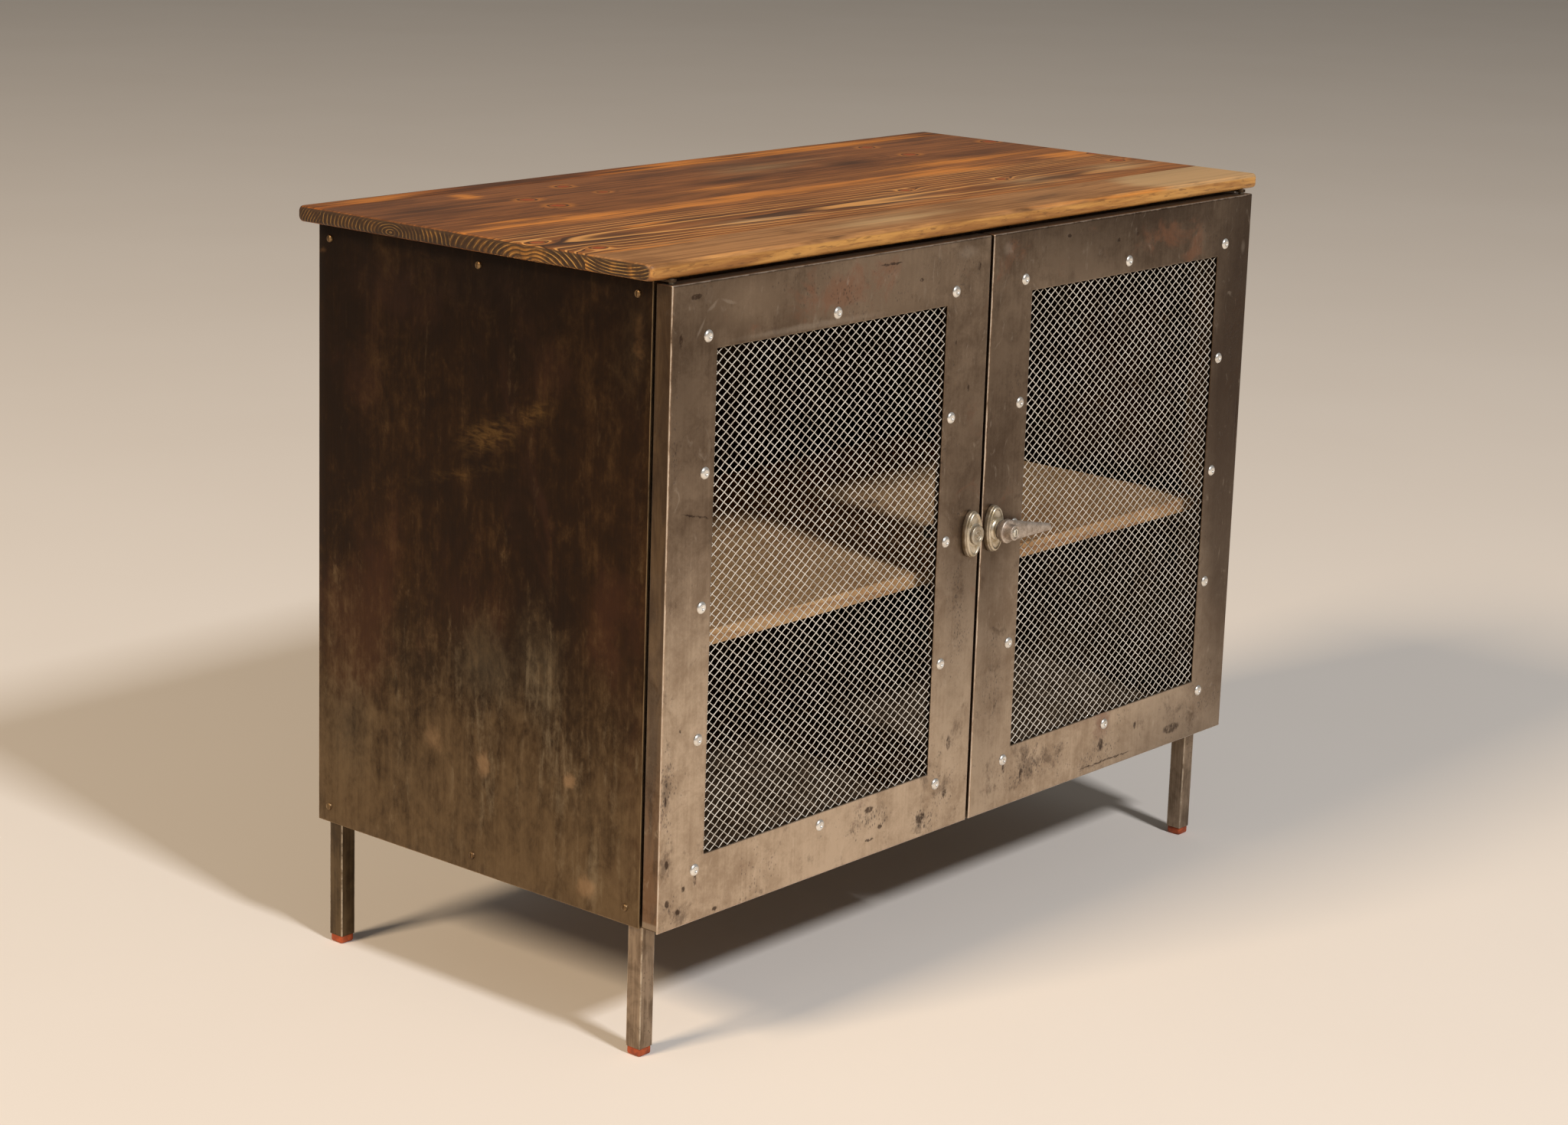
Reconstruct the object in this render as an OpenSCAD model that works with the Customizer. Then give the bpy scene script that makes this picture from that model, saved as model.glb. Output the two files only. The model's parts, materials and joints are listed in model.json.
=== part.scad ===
// Low steel cabinet on legs: square-tube frame, sheet panels, glued pine top and shelf,
// and two pan doors with riveted wire mesh. X runs along the front, Y to the back, Z up.
// The origin is on the ground at the middle of the overall footprint.

/* [Body] */
// Width over the two side panels
body_w = 1040; // [800:10:1400]
// Front-to-back length of the side panels
panel_d = 485; // [400:5:650]
// Height of the side panels
panel_h = 672; // [560:2:900]
// Thickness of the side panels
panel_t = 2; // [1:0.5:3]
// Thickness of the back panel
back_t = 1.5; // [1:0.5:3]
// Thickness of the cabinet floor sheet
floor_t = 2; // [1:0.5:4]

/* [Frame] */
// Width of the square frame tube
tube_w = 30; // [26:1:36]
// Wall of the frame tube
tube_wall = 2; // [1.5:0.5:3]
// Thickness of the plates that close the posts
plate_t = 3; // [2:0.5:4]

/* [Legs] */
// Height of the body's lower edge above the ground
leg_h = 145; // [100:1:220]
// Width of the square leg tube
leg_w = 20; // [16:1:22]
// Wall of the leg tube
leg_wall = 1.5; // [1:0.5:2]
// Outer corner radius of the leg tube
leg_corner_r = 1.5; // [0.5:0.5:3]
// Distance from a side panel's outer face to the leg
leg_inset_side = 10; // [4:0.5:11]
// Distance from the panels' front edge to a front leg
leg_inset_front = 4; // [1:0.5:8]
// Distance from the panels' back edge to a back leg
leg_inset_back = 7; // [3:0.5:9]
// Height of the foot plug's head below the leg tube
foot_drop = 9; // [5:0.5:15]
// Length of the foot plug inside the leg tube
foot_insert = 20; // [10:1:40]
// Width of the bevel round the foot plug's lower end
foot_bevel = 1.2; // [0.4:0.2:3]

/* [Wooden top] */
// Distance that the top overhangs each side panel
top_over_side = 24; // [10:1:40]
// Distance that the top overhangs the side panels' back edge
top_over_back = 10.5; // [4:0.5:40]
// Thickness of the top
top_t = 17; // [15:1:30]
// Depth of the top's front plank
front_plank_d = 87; // [60:1:140]
// Depth of the plank behind it, which leaves the rest to the back plank
middle_plank_d = 190; // [120:1:200]
// Depth of the narrow strip glued along the back
back_strip_d = 39; // [25:1:60]
// Distance from the door faces back to the top's front edge
top_setback = 8; // [0:1:14]
// Corner radius of the top seen from above
top_corner_r = 9; // [4:1:16]
// Radius along the top's long and short edges
top_edge_r = 5; // [2:0.5:7]
// Radius of the screws that hold the top
top_screw_r = 2.4; // [2:0.1:3]
// Depth that those screws reach into the top
top_screw_bite = 11; // [8:0.5:12]

/* [Shelf] */
// Height of the shelf's underside above the body's lower edge
shelf_up = 277; // [200:1:400]
// Thickness of the shelf board
shelf_t = 17; // [12:1:19]
// Distance from the door faces back to the shelf's front edge
shelf_setback = 34; // [32:1:60]
// Leg length of the angle cleats under the shelf
cleat_leg = 20; // [14:1:30]
// Thickness of the angle cleats
cleat_t = 2; // [1.5:0.5:3]

/* [Doors] */
// Depth of the folded door pans
door_t = 21; // [18:0.5:26]
// Thickness of the door sheet
door_skin = 2; // [1.5:0.5:2.5]
// Gap between the two doors
door_gap = 5; // [3:0.5:8]
// Gap between the door pans and the body behind them
door_back_gap = 4.5; // [4:0.5:7]
// Gap between the doors and the top
door_top_gap = 4.7; // [4.5:0.1:8]
// Width of the door's outer stile
stile_out = 68.5; // [55:0.5:110]
// Width of the door's inner stile, which carries the handle
stile_in = 74.5; // [68:0.5:120]
// Height of the door's upper rail
rail_up = 69.5; // [50:0.5:100]
// Height of the door's lower rail
rail_low = 70.5; // [50:0.5:100]

/* [Hinges] */
// Radius of the hinge pins
pin_r = 3; // [2.5:0.25:3.5]
// Distance from the door's outer edge to the hinge axis
pivot_in = 9.5; // [8.5:0.25:9.5]
// Half width of the hinge lugs
lug_half = 5; // [4.5:0.25:5]
// Height of the hinge blocks
block_h = 8; // [5:0.5:14]
// Running gap between a door and its lower lug
hinge_play = 0.3; // [0.2:0.05:0.6]

/* [Mesh and rivets] */
// Thickness of the wire mesh
mesh_t = 3.2; // [2:0.1:4]
// Width of one opening, which stands for a group of five woven diamonds across
net_pitch_x = 69.8; // [50:0.2:100]
// Height of one opening, which stands for a group of five woven diamonds up
net_pitch_z = 51.8; // [40:0.2:80]
// Width of the strands between the openings
net_strand = 6; // [3:0.5:10]
// Width of the mesh border hidden behind the door sheet
mesh_border = 10; // [6:0.5:10]
// Width of the flat bars that hold the mesh
retainer_w = 28; // [24:1:30]
// Thickness of those flat bars
retainer_t = 2; // [1.5:0.5:3]
// Distance from the window's edge to the rivets
rivet_out = 14; // [13.5:0.5:15]
// Radius of the rivet shanks
rivet_r = 2.4; // [2:0.1:2.8]
// Radius of the domed rivet heads
rivet_head_r = 6.5; // [5:0.25:7]
// Height of the domed rivet heads
rivet_head_h = 2.4; // [1.5:0.1:3]

/* [Handles] */
// Height of the handles' axis above the shelf, whose front edge holds the latch keeper
handle_over_shelf = 42.6; // [41:0.2:60]
// Distance from the cabinet's middle to each handle's axis
handle_off = 20; // [19:0.5:30]
// Width of the oval roses
rose_w = 29; // [27:0.5:32]
// Height of the oval roses
rose_h = 53; // [45:1:70]
// Thickness of the oval roses
rose_t = 8.5; // [6:0.5:12]
// Radius of the neck in front of the lever's rose
neck_r = 12.5; // [10:0.5:13]
// Length of that neck
neck_l = 5.5; // [3:0.5:9]
// Radius of the barrel that passes through the door
barrel_r = 8; // [7:0.25:9]
// Length of that barrel behind the rose
barrel_l = 16; // [11:0.5:17]
// Radius of the turning spindles
spindle_r = 5; // [4:0.25:5.5]
// Radius of the lever's hub
hub_r = 13.5; // [12:0.5:15]
// Radius of the hub's waist behind the blade
waist_r = 10.5; // [8:0.5:11.5]
// Length of the lever's hub
hub_l = 10.6; // [9:0.2:14]
// Thickness of the lever's blade
blade_t = 8; // [5:0.5:8.5]
// Distance from the hub to the middle of the blade's round end
blade_l = 79.5; // [60:0.5:110]
// Radius of the blade's round end
blade_end_r = 4.5; // [3:0.5:7]
// Angle that the blade hangs below level
blade_droop = 6; // [0:1:12]
// Radius of the lock housing on the hub
lock_r = 9; // [8:0.25:10]
// Length of the lock housing
lock_l = 9; // [6:0.5:12]
// Radius of the lock plug
plug_r = 6; // [5:0.25:6.5]
// Length that the lock plug shows in front of its housing
plug_proud = 0.6; // [0.3:0.1:2]
// Radius of the round turn knob
knob_r = 11; // [9:0.5:12]
// Length of the round turn knob
knob_l = 3.5; // [3:0.5:9]

/* [Latch] */
// Length of the latch cams from their axis to the tip
cam_l = 38; // [34:0.5:40]
// Width of the latch cams
cam_w = 14; // [12:0.5:15]
// Thickness of the latch cams
cam_t = 3; // [2:0.5:4]
// Length of the nuts behind the cams
cam_nut_l = 4; // [3:0.5:6]
// Half width of the keeper on the shelf's front edge
keeper_half = 40; // [30:1:60]
// Height that a turned cam reaches down behind the keeper
latch_bite = 8.5; // [6:0.5:12]
// Thickness of the keeper
keeper_t = 2; // [1.5:0.5:2]

/* [Screws and pads] */
// Radius of the panel screws
screw_r = 2; // [1.5:0.1:2.5]
// Radius of the panel screw heads
screw_head_r = 4.2; // [3.5:0.1:5]
// Height of the panel screw heads
screw_head_h = 2.2; // [1.5:0.1:3]
// Distance from the side panels' edges to their screws
screw_in = 18; // [16:0.5:20]
// Radius of the door pads
pad_r = 6; // [4:0.5:7]

/* [Hidden] */
// Clearance round screws, rivets and plugs, on the radius
fit_gap = 0.05;
// Clearance round turning pins and spindles, on the radius
run_gap = 0.06;
// Gap between faces that slide past each other
slide_gap = 0.4;
// Overshoot of the cutting shapes
over = 1;

body_half = body_w / 2;
body_z0 = leg_h;
body_z1 = leg_h + panel_h;
panel_y0 = door_t + door_back_gap;
panel_y1 = panel_y0 + panel_d;
tube_x1 = body_half - panel_t;
tube_x0 = tube_x1 - tube_w;
tube_front_y1 = panel_y0 + tube_w;
tube_back_y1 = panel_y1 - back_t;
tube_back_y0 = tube_back_y1 - tube_w;
rail_low_z1 = body_z0 + tube_w;
rail_top_z0 = body_z1 - tube_w;
floor_z1 = rail_low_z1 + floor_t;

top_w = body_w + 2 * top_over_side;
top_y0 = top_setback;
top_y1 = panel_y1 + top_over_back;
top_d = top_y1 - top_y0;
top_z1 = body_z1 + top_t;
front_glue_y = top_y0 + front_plank_d;
middle_glue_y = front_glue_y + middle_plank_d;
back_glue_y = top_y1 - back_strip_d;

shelf_z0 = body_z0 + shelf_up;
shelf_z1 = shelf_z0 + shelf_t;
shelf_half = tube_x0 - 1;
shelf_y1 = tube_back_y1 - 9;

door_x0 = door_gap / 2;
door_w = body_half - door_x0;
door_z0 = body_z0;
door_z1 = body_z1 - door_top_gap;
door_h = door_z1 - door_z0;
window_x0 = door_x0 + stile_in;
window_x1 = body_half - stile_out;
window_z0 = door_z0 + rail_low;
window_z1 = door_z1 - rail_up;
window_w = window_x1 - window_x0;
window_h = window_z1 - window_z0;

pivot_x = body_half - pivot_in;
pivot_y = door_t / 2;
lug_z1 = body_z0 + plate_t;
block_low_z0 = lug_z1 + hinge_play;
block_up_z1 = door_z1 - door_skin;
block_x0 = pivot_x - 12;
block_y1 = door_t - 3;
pin_past = 2;

retainer_y0 = door_skin + mesh_t;
retainer_y1 = retainer_y0 + retainer_t;
rivet_tail = 1.8;

handle_z = shelf_z1 + handle_over_shelf;
neck_y = -rose_t - neck_l;
hub_y0 = neck_y - slide_gap;
hub_y1 = hub_y0 - hub_l;
lock_y1 = hub_y1 - lock_l;
plug_y1 = lock_y1 - plug_proud;
plug_y0 = hub_y0 - hub_l / 2 - 1;
ring_t = 4;
ring_r = 12;
knob_y0 = -rose_t - slide_gap;
knob_y1 = knob_y0 - knob_l;
keeper_y0 = shelf_setback - keeper_t;
keeper_z0 = shelf_z0 + 1;
keeper_z1 = handle_z - cam_l + latch_bite;
cam_y0 = shelf_setback + slide_gap;
cam_y1 = cam_y0 + cam_t;
spindle_y1 = cam_y1 + cam_nut_l + 0.6;
cam_nut_r = 8;

// Distance from the front of the lock plug to the door faces
front_reach = -plug_y1;
// Where the door faces lie, so that the footprint's middle is at Y = 0
face_y = (front_reach - top_y1) / 2;

side_screw_y = [panel_y0 + screw_in + 2, panel_y0 + panel_d / 2, panel_y1 - screw_in + 1];
side_screw_z = [body_z0 + screw_in, body_z1 - screw_in];
side_screw_l = 12;
back_screw_x = [-tube_x0 - tube_w / 2, -tube_x0 / 3, tube_x0 / 3, tube_x0 + tube_w / 2];
back_screw_z = [body_z0 + tube_w / 2, body_z1 - tube_w / 2];
top_screw_x = [-tube_x0 * 0.72, 0, tube_x0 * 0.72];
top_screw_y = [panel_y0 + tube_w / 2, tube_back_y0 + tube_w / 2];
cleat_screw_in = 60;
cleat_screw_y = [shelf_setback + cleat_screw_in, shelf_y1 - cleat_screw_in];
cleat_screw_x = shelf_half - cleat_leg / 2;
keeper_screw_x = keeper_half - 12;
keeper_screw_z = (shelf_z0 + shelf_z1) / 2;
wood_screw_r = 1.75;
wood_screw_bite = 10;
pad_x = 60;
pad_z = [door_z0 + pad_r + 1, door_z1 - pad_r + 1.5];
pad_t = door_back_gap - 0.3;

// Corner points of a rectangle with rounded corners, centred on the origin
function round_rect(w, d, r, n = 6) = [
    for (q = [0:3], k = [0:n])
        let (a = 90 * q + 90 * k / n, sx = (q == 0 || q == 3) ? 1 : -1, sy = q < 2 ? 1 : -1)
            [sx * (w / 2 - r) + r * cos(a), sy * (d / 2 - r) + r * sin(a)]
];

// Points of an oval of the given width and height
function oval(w, h, n = 48) = [for (k = [0:n - 1]) [w / 2 * cos(360 * k / n), h / 2 * sin(360 * k / n)]];

// Moves a shape given from the door faces into the part's frame
module placed() {
    translate([0, face_y, 0])
        children();
}

// Side 1 is the right half of the cabinet, side -1 its mirror image on the left
module on_side(side) {
    placed()
        mirror([side < 0 ? 1 : 0, 0, 0])
            children();
}

module box(low, high) {
    translate(low)
        cube(high - low);
}

// A cylinder along Y from y0 towards the back
module rod_y(x, z, y0, y1, r) {
    translate([x, y1, z])
        rotate([90, 0, 0])
            cylinder(r = r, h = y1 - y0, $fn = 48);
}

// A square tube filling the box from low to high, open along the given axis
module tube(low, high, axis) {
    wall = [for (i = [0:2]) i == axis ? -over : tube_wall];
    difference() {
        box(low, high);
        box(low + wall, high - wall);
    }
}

module slab() {
    intersection() {
        translate([0, (top_y0 + top_y1) / 2, body_z1])
            linear_extrude(top_t)
                polygon(round_rect(top_w, top_d, top_corner_r));
        translate([-top_w / 2 - over, (top_y0 + top_y1) / 2, body_z1 + top_t / 2])
            rotate([90, 0, 90])
                linear_extrude(top_w + 2 * over)
                    polygon(round_rect(top_d, top_t, top_edge_r));
        translate([0, top_y1 + over, body_z1 + top_t / 2])
            rotate([90, 0, 0])
                linear_extrude(top_d + 2 * over)
                    polygon(round_rect(top_w, top_t, top_edge_r));
    }
}

module plank(y0, y1) {
    placed()
        difference() {
            intersection() {
                slab();
                box([-top_w, y0, body_z1 - over], [top_w, y1, top_z1 + over]);
            }
            for (x = top_screw_x, y = top_screw_y)
                if (y > y0 && y < y1)
                    translate([x, y, body_z1 - over])
                        cylinder(r = top_screw_r + fit_gap, h = top_screw_bite + over + 0.5, $fn = 32);
        }
}

module top_plank_front() {
    color("#8a5a33")
        plank(top_y0, front_glue_y);
}

module top_plank_middle() {
    color("#7a4c2b")
        plank(front_glue_y, middle_glue_y);
}

module top_plank_back() {
    color("#84552f")
        plank(middle_glue_y, back_glue_y);
}

module top_strip_back() {
    color("#a0662f")
        plank(back_glue_y, top_y1);
}

// A screw with its head below z = 0 and its shank pointing up
module screw_up(r, l) {
    rotate_extrude($fn = 32)
        polygon([[0, -2 * r * 0.6], [1.2 * r, -2 * r * 0.6], [2 * r, -0.4 * r], [2 * r, 0],
                 [r, 0], [r, l - r], [0.2 * r, l], [0, l]]);
}

module top_screws() {
    color("#9a9690")
        placed()
            for (x = top_screw_x, y = top_screw_y)
                translate([x, y, rail_top_z0])
                    screw_up(top_screw_r, tube_w + top_screw_bite);
}

// Bores for the six screws of the right side panel
module side_screw_bores(side) {
    mirror([side < 0 ? 1 : 0, 0, 0])
        for (y = side_screw_y, z = side_screw_z)
            translate([body_half - side_screw_l, y, z])
                rotate([0, 90, 0])
                    cylinder(r = screw_r + fit_gap, h = side_screw_l + over, $fn = 32);
}

// Bores for the screws of the back panel
module back_screw_bores() {
    for (x = back_screw_x, z = back_screw_z)
        rod_y(x, z, panel_y1 - side_screw_l, panel_y1 + over, screw_r + fit_gap);
}

module top_screw_bores() {
    for (x = top_screw_x, y = top_screw_y)
        translate([x, y, rail_top_z0 - over])
            cylinder(r = top_screw_r + fit_gap, h = tube_w + 2 * over, $fn = 32);
}

module post(side, y0) {
    color("#5d5449")
        placed()
            difference() {
                tube([side > 0 ? tube_x0 : -tube_x1, y0, body_z0 + plate_t],
                     [side > 0 ? tube_x1 : -tube_x0, y0 + tube_w, body_z1 - plate_t], 2);
                side_screw_bores(side);
                back_screw_bores();
            }
}

module front_left_post() { post(-1, panel_y0); }
module front_right_post() { post(1, panel_y0); }
module back_left_post() { post(-1, tube_back_y0); }
module back_right_post() { post(1, tube_back_y0); }

// A rail along X between two posts
module long_rail(y0, z0) {
    color("#5d5449")
        placed()
            difference() {
                tube([-tube_x0, y0, z0], [tube_x0, y0 + tube_w, z0 + tube_w], 0);
                top_screw_bores();
                back_screw_bores();
            }
}

// A rail along Y between a front post and a back post
module short_rail(side, z0) {
    color("#5d5449")
        placed()
            difference() {
                tube([side > 0 ? tube_x0 : -tube_x1, tube_front_y1, z0],
                     [side > 0 ? tube_x1 : -tube_x0, tube_back_y0, z0 + tube_w], 1);
                side_screw_bores(side);
            }
}

module top_front_rail() { long_rail(panel_y0, rail_top_z0); }
module top_back_rail() { long_rail(tube_back_y0, rail_top_z0); }
module top_left_rail() { short_rail(-1, rail_top_z0); }
module top_right_rail() { short_rail(1, rail_top_z0); }
module bottom_front_rail() { long_rail(panel_y0, body_z0); }
module bottom_back_rail() { long_rail(tube_back_y0, body_z0); }
module bottom_left_rail() { short_rail(-1, body_z0); }
module bottom_right_rail() { short_rail(1, body_z0); }

// Post plate with a lug that reaches forward under or over the door's outer corner
module hinge_plate(z0) {
    difference() {
        union() {
            box([tube_x0, panel_y0, z0], [tube_x1, tube_front_y1, z0 + plate_t]);
            box([pivot_x - lug_half, pivot_y, z0], [pivot_x + lug_half, panel_y0 + over, z0 + plate_t]);
            translate([pivot_x, pivot_y, z0])
                cylinder(r = lug_half, h = plate_t, $fn = 48);
        }
        translate([pivot_x, pivot_y, z0 - over])
            cylinder(r = pin_r + fit_gap, h = plate_t + 2 * over, $fn = 48);
    }
}

module hinge_plates(side) {
    color("#8b8072")
        on_side(side) {
            hinge_plate(body_z0);
            hinge_plate(body_z1 - plate_t);
        }
}

module left_hinge_plates() { hinge_plates(-1); }
module right_hinge_plates() { hinge_plates(1); }

module back_post_plates() {
    color("#8b8072")
        for (side = [-1, 1])
            on_side(side)
                for (z = [body_z0, body_z1 - plate_t])
                    box([tube_x0, tube_back_y0, z], [tube_x1, tube_back_y1, z + plate_t]);
}

// A leg's centre, seen from the door faces
function leg_x(side) = side * (body_half - leg_inset_side - leg_w / 2);
function leg_y(back) = back ? panel_y1 - leg_inset_back - leg_w / 2
                            : panel_y0 + leg_inset_front + leg_w / 2;

module leg(side, back) {
    color("#6f665a")
        placed()
            translate([leg_x(side), leg_y(back), foot_drop])
                difference() {
                    linear_extrude(body_z0 - foot_drop)
                        polygon(round_rect(leg_w, leg_w, leg_corner_r, 4));
                    translate([0, 0, (body_z0 - foot_drop) / 2])
                        cube([leg_w - 2 * leg_wall, leg_w - 2 * leg_wall, body_z0], center = true);
                }
}

module front_left_leg() { leg(-1, false); }
module front_right_leg() { leg(1, false); }
module back_left_leg() { leg(-1, true); }
module back_right_leg() { leg(1, true); }

// Foot plug: a head as wide as the leg with its lower edges bevelled, and a square insert
module foot_plug() {
    half = leg_w / 2;
    insert_w = leg_w - 2 * leg_wall - 2 * fit_gap;
    side_view = [[-half, foot_bevel], [-half + foot_bevel, 0], [half - foot_bevel, 0],
                 [half, foot_bevel], [half, foot_drop], [-half, foot_drop]];
    intersection() {
        linear_extrude(foot_drop)
            polygon(round_rect(leg_w, leg_w, leg_corner_r, 4));
        translate([0, half, 0])
            rotate([90, 0, 0])
                linear_extrude(leg_w)
                    polygon(side_view);
        translate([-half, 0, 0])
            rotate([90, 0, 90])
                linear_extrude(leg_w)
                    polygon(side_view);
    }
    translate([-insert_w / 2, -insert_w / 2, foot_drop - over])
        cube([insert_w, insert_w, foot_insert + over]);
}

module foot_plugs() {
    color("#a5542c")
        placed()
            for (side = [-1, 1], back = [false, true])
                translate([leg_x(side), leg_y(back), 0])
                    foot_plug();
}

module side_panel(side) {
    color("#4a3d30")
        placed()
            difference() {
                box([side > 0 ? tube_x1 : -body_half, panel_y0, body_z0],
                    [side > 0 ? body_half : -tube_x1, panel_y1, body_z1]);
                side_screw_bores(side);
            }
}

module left_side_panel() { side_panel(-1); }
module right_side_panel() { side_panel(1); }

module back_panel() {
    color("#4f4438")
        placed()
            difference() {
                box([-tube_x1, tube_back_y1, body_z0], [tube_x1, panel_y1, body_z1]);
                back_screw_bores();
            }
}

module cabinet_floor() {
    color("#5a5245")
        placed()
            difference() {
                box([-tube_x1, panel_y0, rail_low_z1], [tube_x1, tube_back_y1, floor_z1]);
                for (side = [-1, 1], y = [panel_y0 - over, tube_back_y0])
                    box([side > 0 ? tube_x0 : -tube_x1 - over, y, rail_low_z1 - over],
                        [side > 0 ? tube_x1 + over : -tube_x0, y + tube_w + over, floor_z1 + over]);
            }
}

// A slotted pan-head screw along Z with its head above z = 0
module pan_screw() {
    difference() {
        rotate_extrude($fn = 32)
            polygon([[0, -side_screw_l], [screw_r, -side_screw_l], [screw_r, 0], [screw_head_r, 0],
                     [screw_head_r * 0.9, screw_head_h * 0.6], [screw_head_r * 0.5, screw_head_h],
                     [0, screw_head_h]]);
        translate([-screw_head_r, -0.5, screw_head_h - 0.8])
            cube([2 * screw_head_r, 1, 2]);
    }
}

module side_screws() {
    color("#77695a")
        for (side = [-1, 1])
            on_side(side)
                for (y = side_screw_y, z = side_screw_z)
                    translate([body_half, y, z])
                        rotate([0, 90, 0])
                            pan_screw();
}

module back_screws() {
    color("#77695a")
        placed()
            for (x = back_screw_x, z = back_screw_z)
                translate([x, panel_y1, z])
                    rotate([-90, 0, 0])
                        pan_screw();
}

module shelf() {
    color("#a5835c")
        placed()
            difference() {
                box([-shelf_half, shelf_setback, shelf_z0], [shelf_half, shelf_y1, shelf_z1]);
                for (x = [-cleat_screw_x, cleat_screw_x], y = cleat_screw_y)
                    translate([x, y, shelf_z0 - over])
                        cylinder(r = wood_screw_r + fit_gap, h = wood_screw_bite + over + 0.5, $fn = 32);
                for (x = [-keeper_screw_x, keeper_screw_x])
                    rod_y(x, keeper_screw_z, shelf_setback - over, shelf_setback + wood_screw_bite + 0.5,
                          wood_screw_r + fit_gap);
            }
}

module shelf_cleat(side) {
    color("#665c50")
        on_side(side)
            difference() {
                union() {
                    box([tube_x0 - cleat_t, shelf_setback, shelf_z0 - cleat_leg],
                        [tube_x0, shelf_y1, shelf_z0]);
                    box([tube_x0 - cleat_leg, shelf_setback, shelf_z0 - cleat_t],
                        [tube_x0, shelf_y1, shelf_z0]);
                }
                for (y = cleat_screw_y)
                    translate([cleat_screw_x, y, shelf_z0 - cleat_t - over])
                        cylinder(r = wood_screw_r + fit_gap, h = cleat_t + 2 * over, $fn = 32);
            }
}

module left_shelf_cleat() { shelf_cleat(-1); }
module right_shelf_cleat() { shelf_cleat(1); }

module shelf_screws() {
    color("#9a9690")
        placed() {
            for (x = [-cleat_screw_x, cleat_screw_x], y = cleat_screw_y)
                translate([x, y, shelf_z0 - cleat_t])
                    screw_up(wood_screw_r, cleat_t + wood_screw_bite);
            for (x = [-keeper_screw_x, keeper_screw_x])
                translate([x, keeper_y0, keeper_screw_z])
                    rotate([-90, 0, 0])
                        screw_up(wood_screw_r, keeper_t + wood_screw_bite);
        }
}

// Flat bar on the shelf's front edge that stands up past it, for the latch cams to turn behind
module latch_keeper() {
    color("#8b8072")
        placed()
            difference() {
                box([-keeper_half, keeper_y0, keeper_z0], [keeper_half, shelf_setback, keeper_z1]);
                for (x = [-keeper_screw_x, keeper_screw_x])
                    rod_y(x, keeper_screw_z, keeper_y0 - over, shelf_setback + over,
                          wood_screw_r + fit_gap);
            }
}

module hinge_pins() {
    low_l = block_low_z0 + block_h + pin_past - body_z0;
    up_l = body_z1 - (block_up_z1 - block_h - pin_past);
    color("#a29c92")
        for (side = [-1, 1])
            on_side(side) {
                translate([pivot_x, pivot_y, body_z0])
                    cylinder(r = pin_r, h = low_l, $fn = 48);
                translate([pivot_x, pivot_y, body_z1 - up_l])
                    cylinder(r = pin_r, h = up_l, $fn = 48);
            }
}

module door_bumpers() {
    color("#2c2a28")
        placed()
            for (x = [-pad_x, pad_x], z = pad_z)
                rod_y(x, z, panel_y0 - pad_t, panel_y0, pad_r);
}

// Rivet places of the right door: corners, one above and below, three up each side
function rivet_xz() = [
    let (x0 = window_x0 - rivet_out, x1 = window_x1 + rivet_out,
         z0 = window_z0 - rivet_out, z1 = window_z1 + rivet_out)
    each concat([for (k = [0:4]) [x0, z0 + (z1 - z0) * k / 4]],
                [for (k = [0:4]) [x1, z0 + (z1 - z0) * k / 4]],
                [for (z = [z0, z1]) [(x0 + x1) / 2, z]])
];

module rivet_bores() {
    for (p = rivet_xz())
        rod_y(p[0], p[1], -over, retainer_y1 + over, rivet_r + fit_gap);
}

module door_pan(side) {
    color("#75685a")
        on_side(side)
            difference() {
                box([door_x0, 0, door_z0], [body_half, door_t, door_z1]);
                box([door_x0 + door_skin, door_skin, door_z0 + door_skin],
                    [body_half - door_skin, door_t + over, door_z1 - door_skin]);
                box([window_x0, -over, window_z0], [window_x1, door_skin + over, window_z1]);
                box([pivot_x - lug_half - 1.5, door_skin, door_z0 - over],
                    [body_half + over, door_t + over, block_low_z0]);
                translate([pivot_x, pivot_y, door_z1 - door_skin - over])
                    cylinder(r = pin_r + 0.5, h = door_skin + 2 * over, $fn = 48);
                rod_y(handle_off, handle_z, -over, door_skin + over, barrel_r + fit_gap);
                rivet_bores();
            }
}

module left_door_pan() { door_pan(-1); }
module right_door_pan() { door_pan(1); }

// Diamond openings of the mesh, cut short where they meet the window's edge
module net_holes() {
    hx = net_pitch_x / 2;
    hz = net_pitch_z / 2;
    shrink = 1 - net_strand * sqrt(hx * hx + hz * hz) / (2 * hx * hz);
    nx = ceil(window_w / net_pitch_x);
    nz = ceil(window_h / net_pitch_z);
    intersection() {
        square([window_w, window_h], center = true);
        union() {
            for (i = [-nx:nx], k = [-nz:nz])
                if ((i + k) % 2 == 0)
                    translate([i * hx, k * hz])
                        polygon([[hx * shrink, 0], [0, hz * shrink], [-hx * shrink, 0], [0, -hz * shrink]]);
        }
    }
}

module door_mesh(side) {
    color("#c9c5bb")
        on_side(side)
            translate([(window_x0 + window_x1) / 2, retainer_y0, (window_z0 + window_z1) / 2])
                rotate([90, 0, 0])
                    linear_extrude(mesh_t)
                        difference() {
                            square([window_w + 2 * mesh_border, window_h + 2 * mesh_border], center = true);
                            net_holes();
                        }
}

module left_door_mesh() { door_mesh(-1); }
module right_door_mesh() { door_mesh(1); }

module mesh_retainer(side) {
    color("#6a6054")
        on_side(side)
            difference() {
                box([window_x0 - retainer_w, retainer_y0, window_z0 - retainer_w],
                    [window_x1 + retainer_w, retainer_y1, window_z1 + retainer_w]);
                box([window_x0, retainer_y0 - over, window_z0],
                    [window_x1, retainer_y1 + over, window_z1]);
                rivet_bores();
            }
}

module left_mesh_retainer() { mesh_retainer(-1); }
module right_mesh_retainer() { mesh_retainer(1); }

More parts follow.
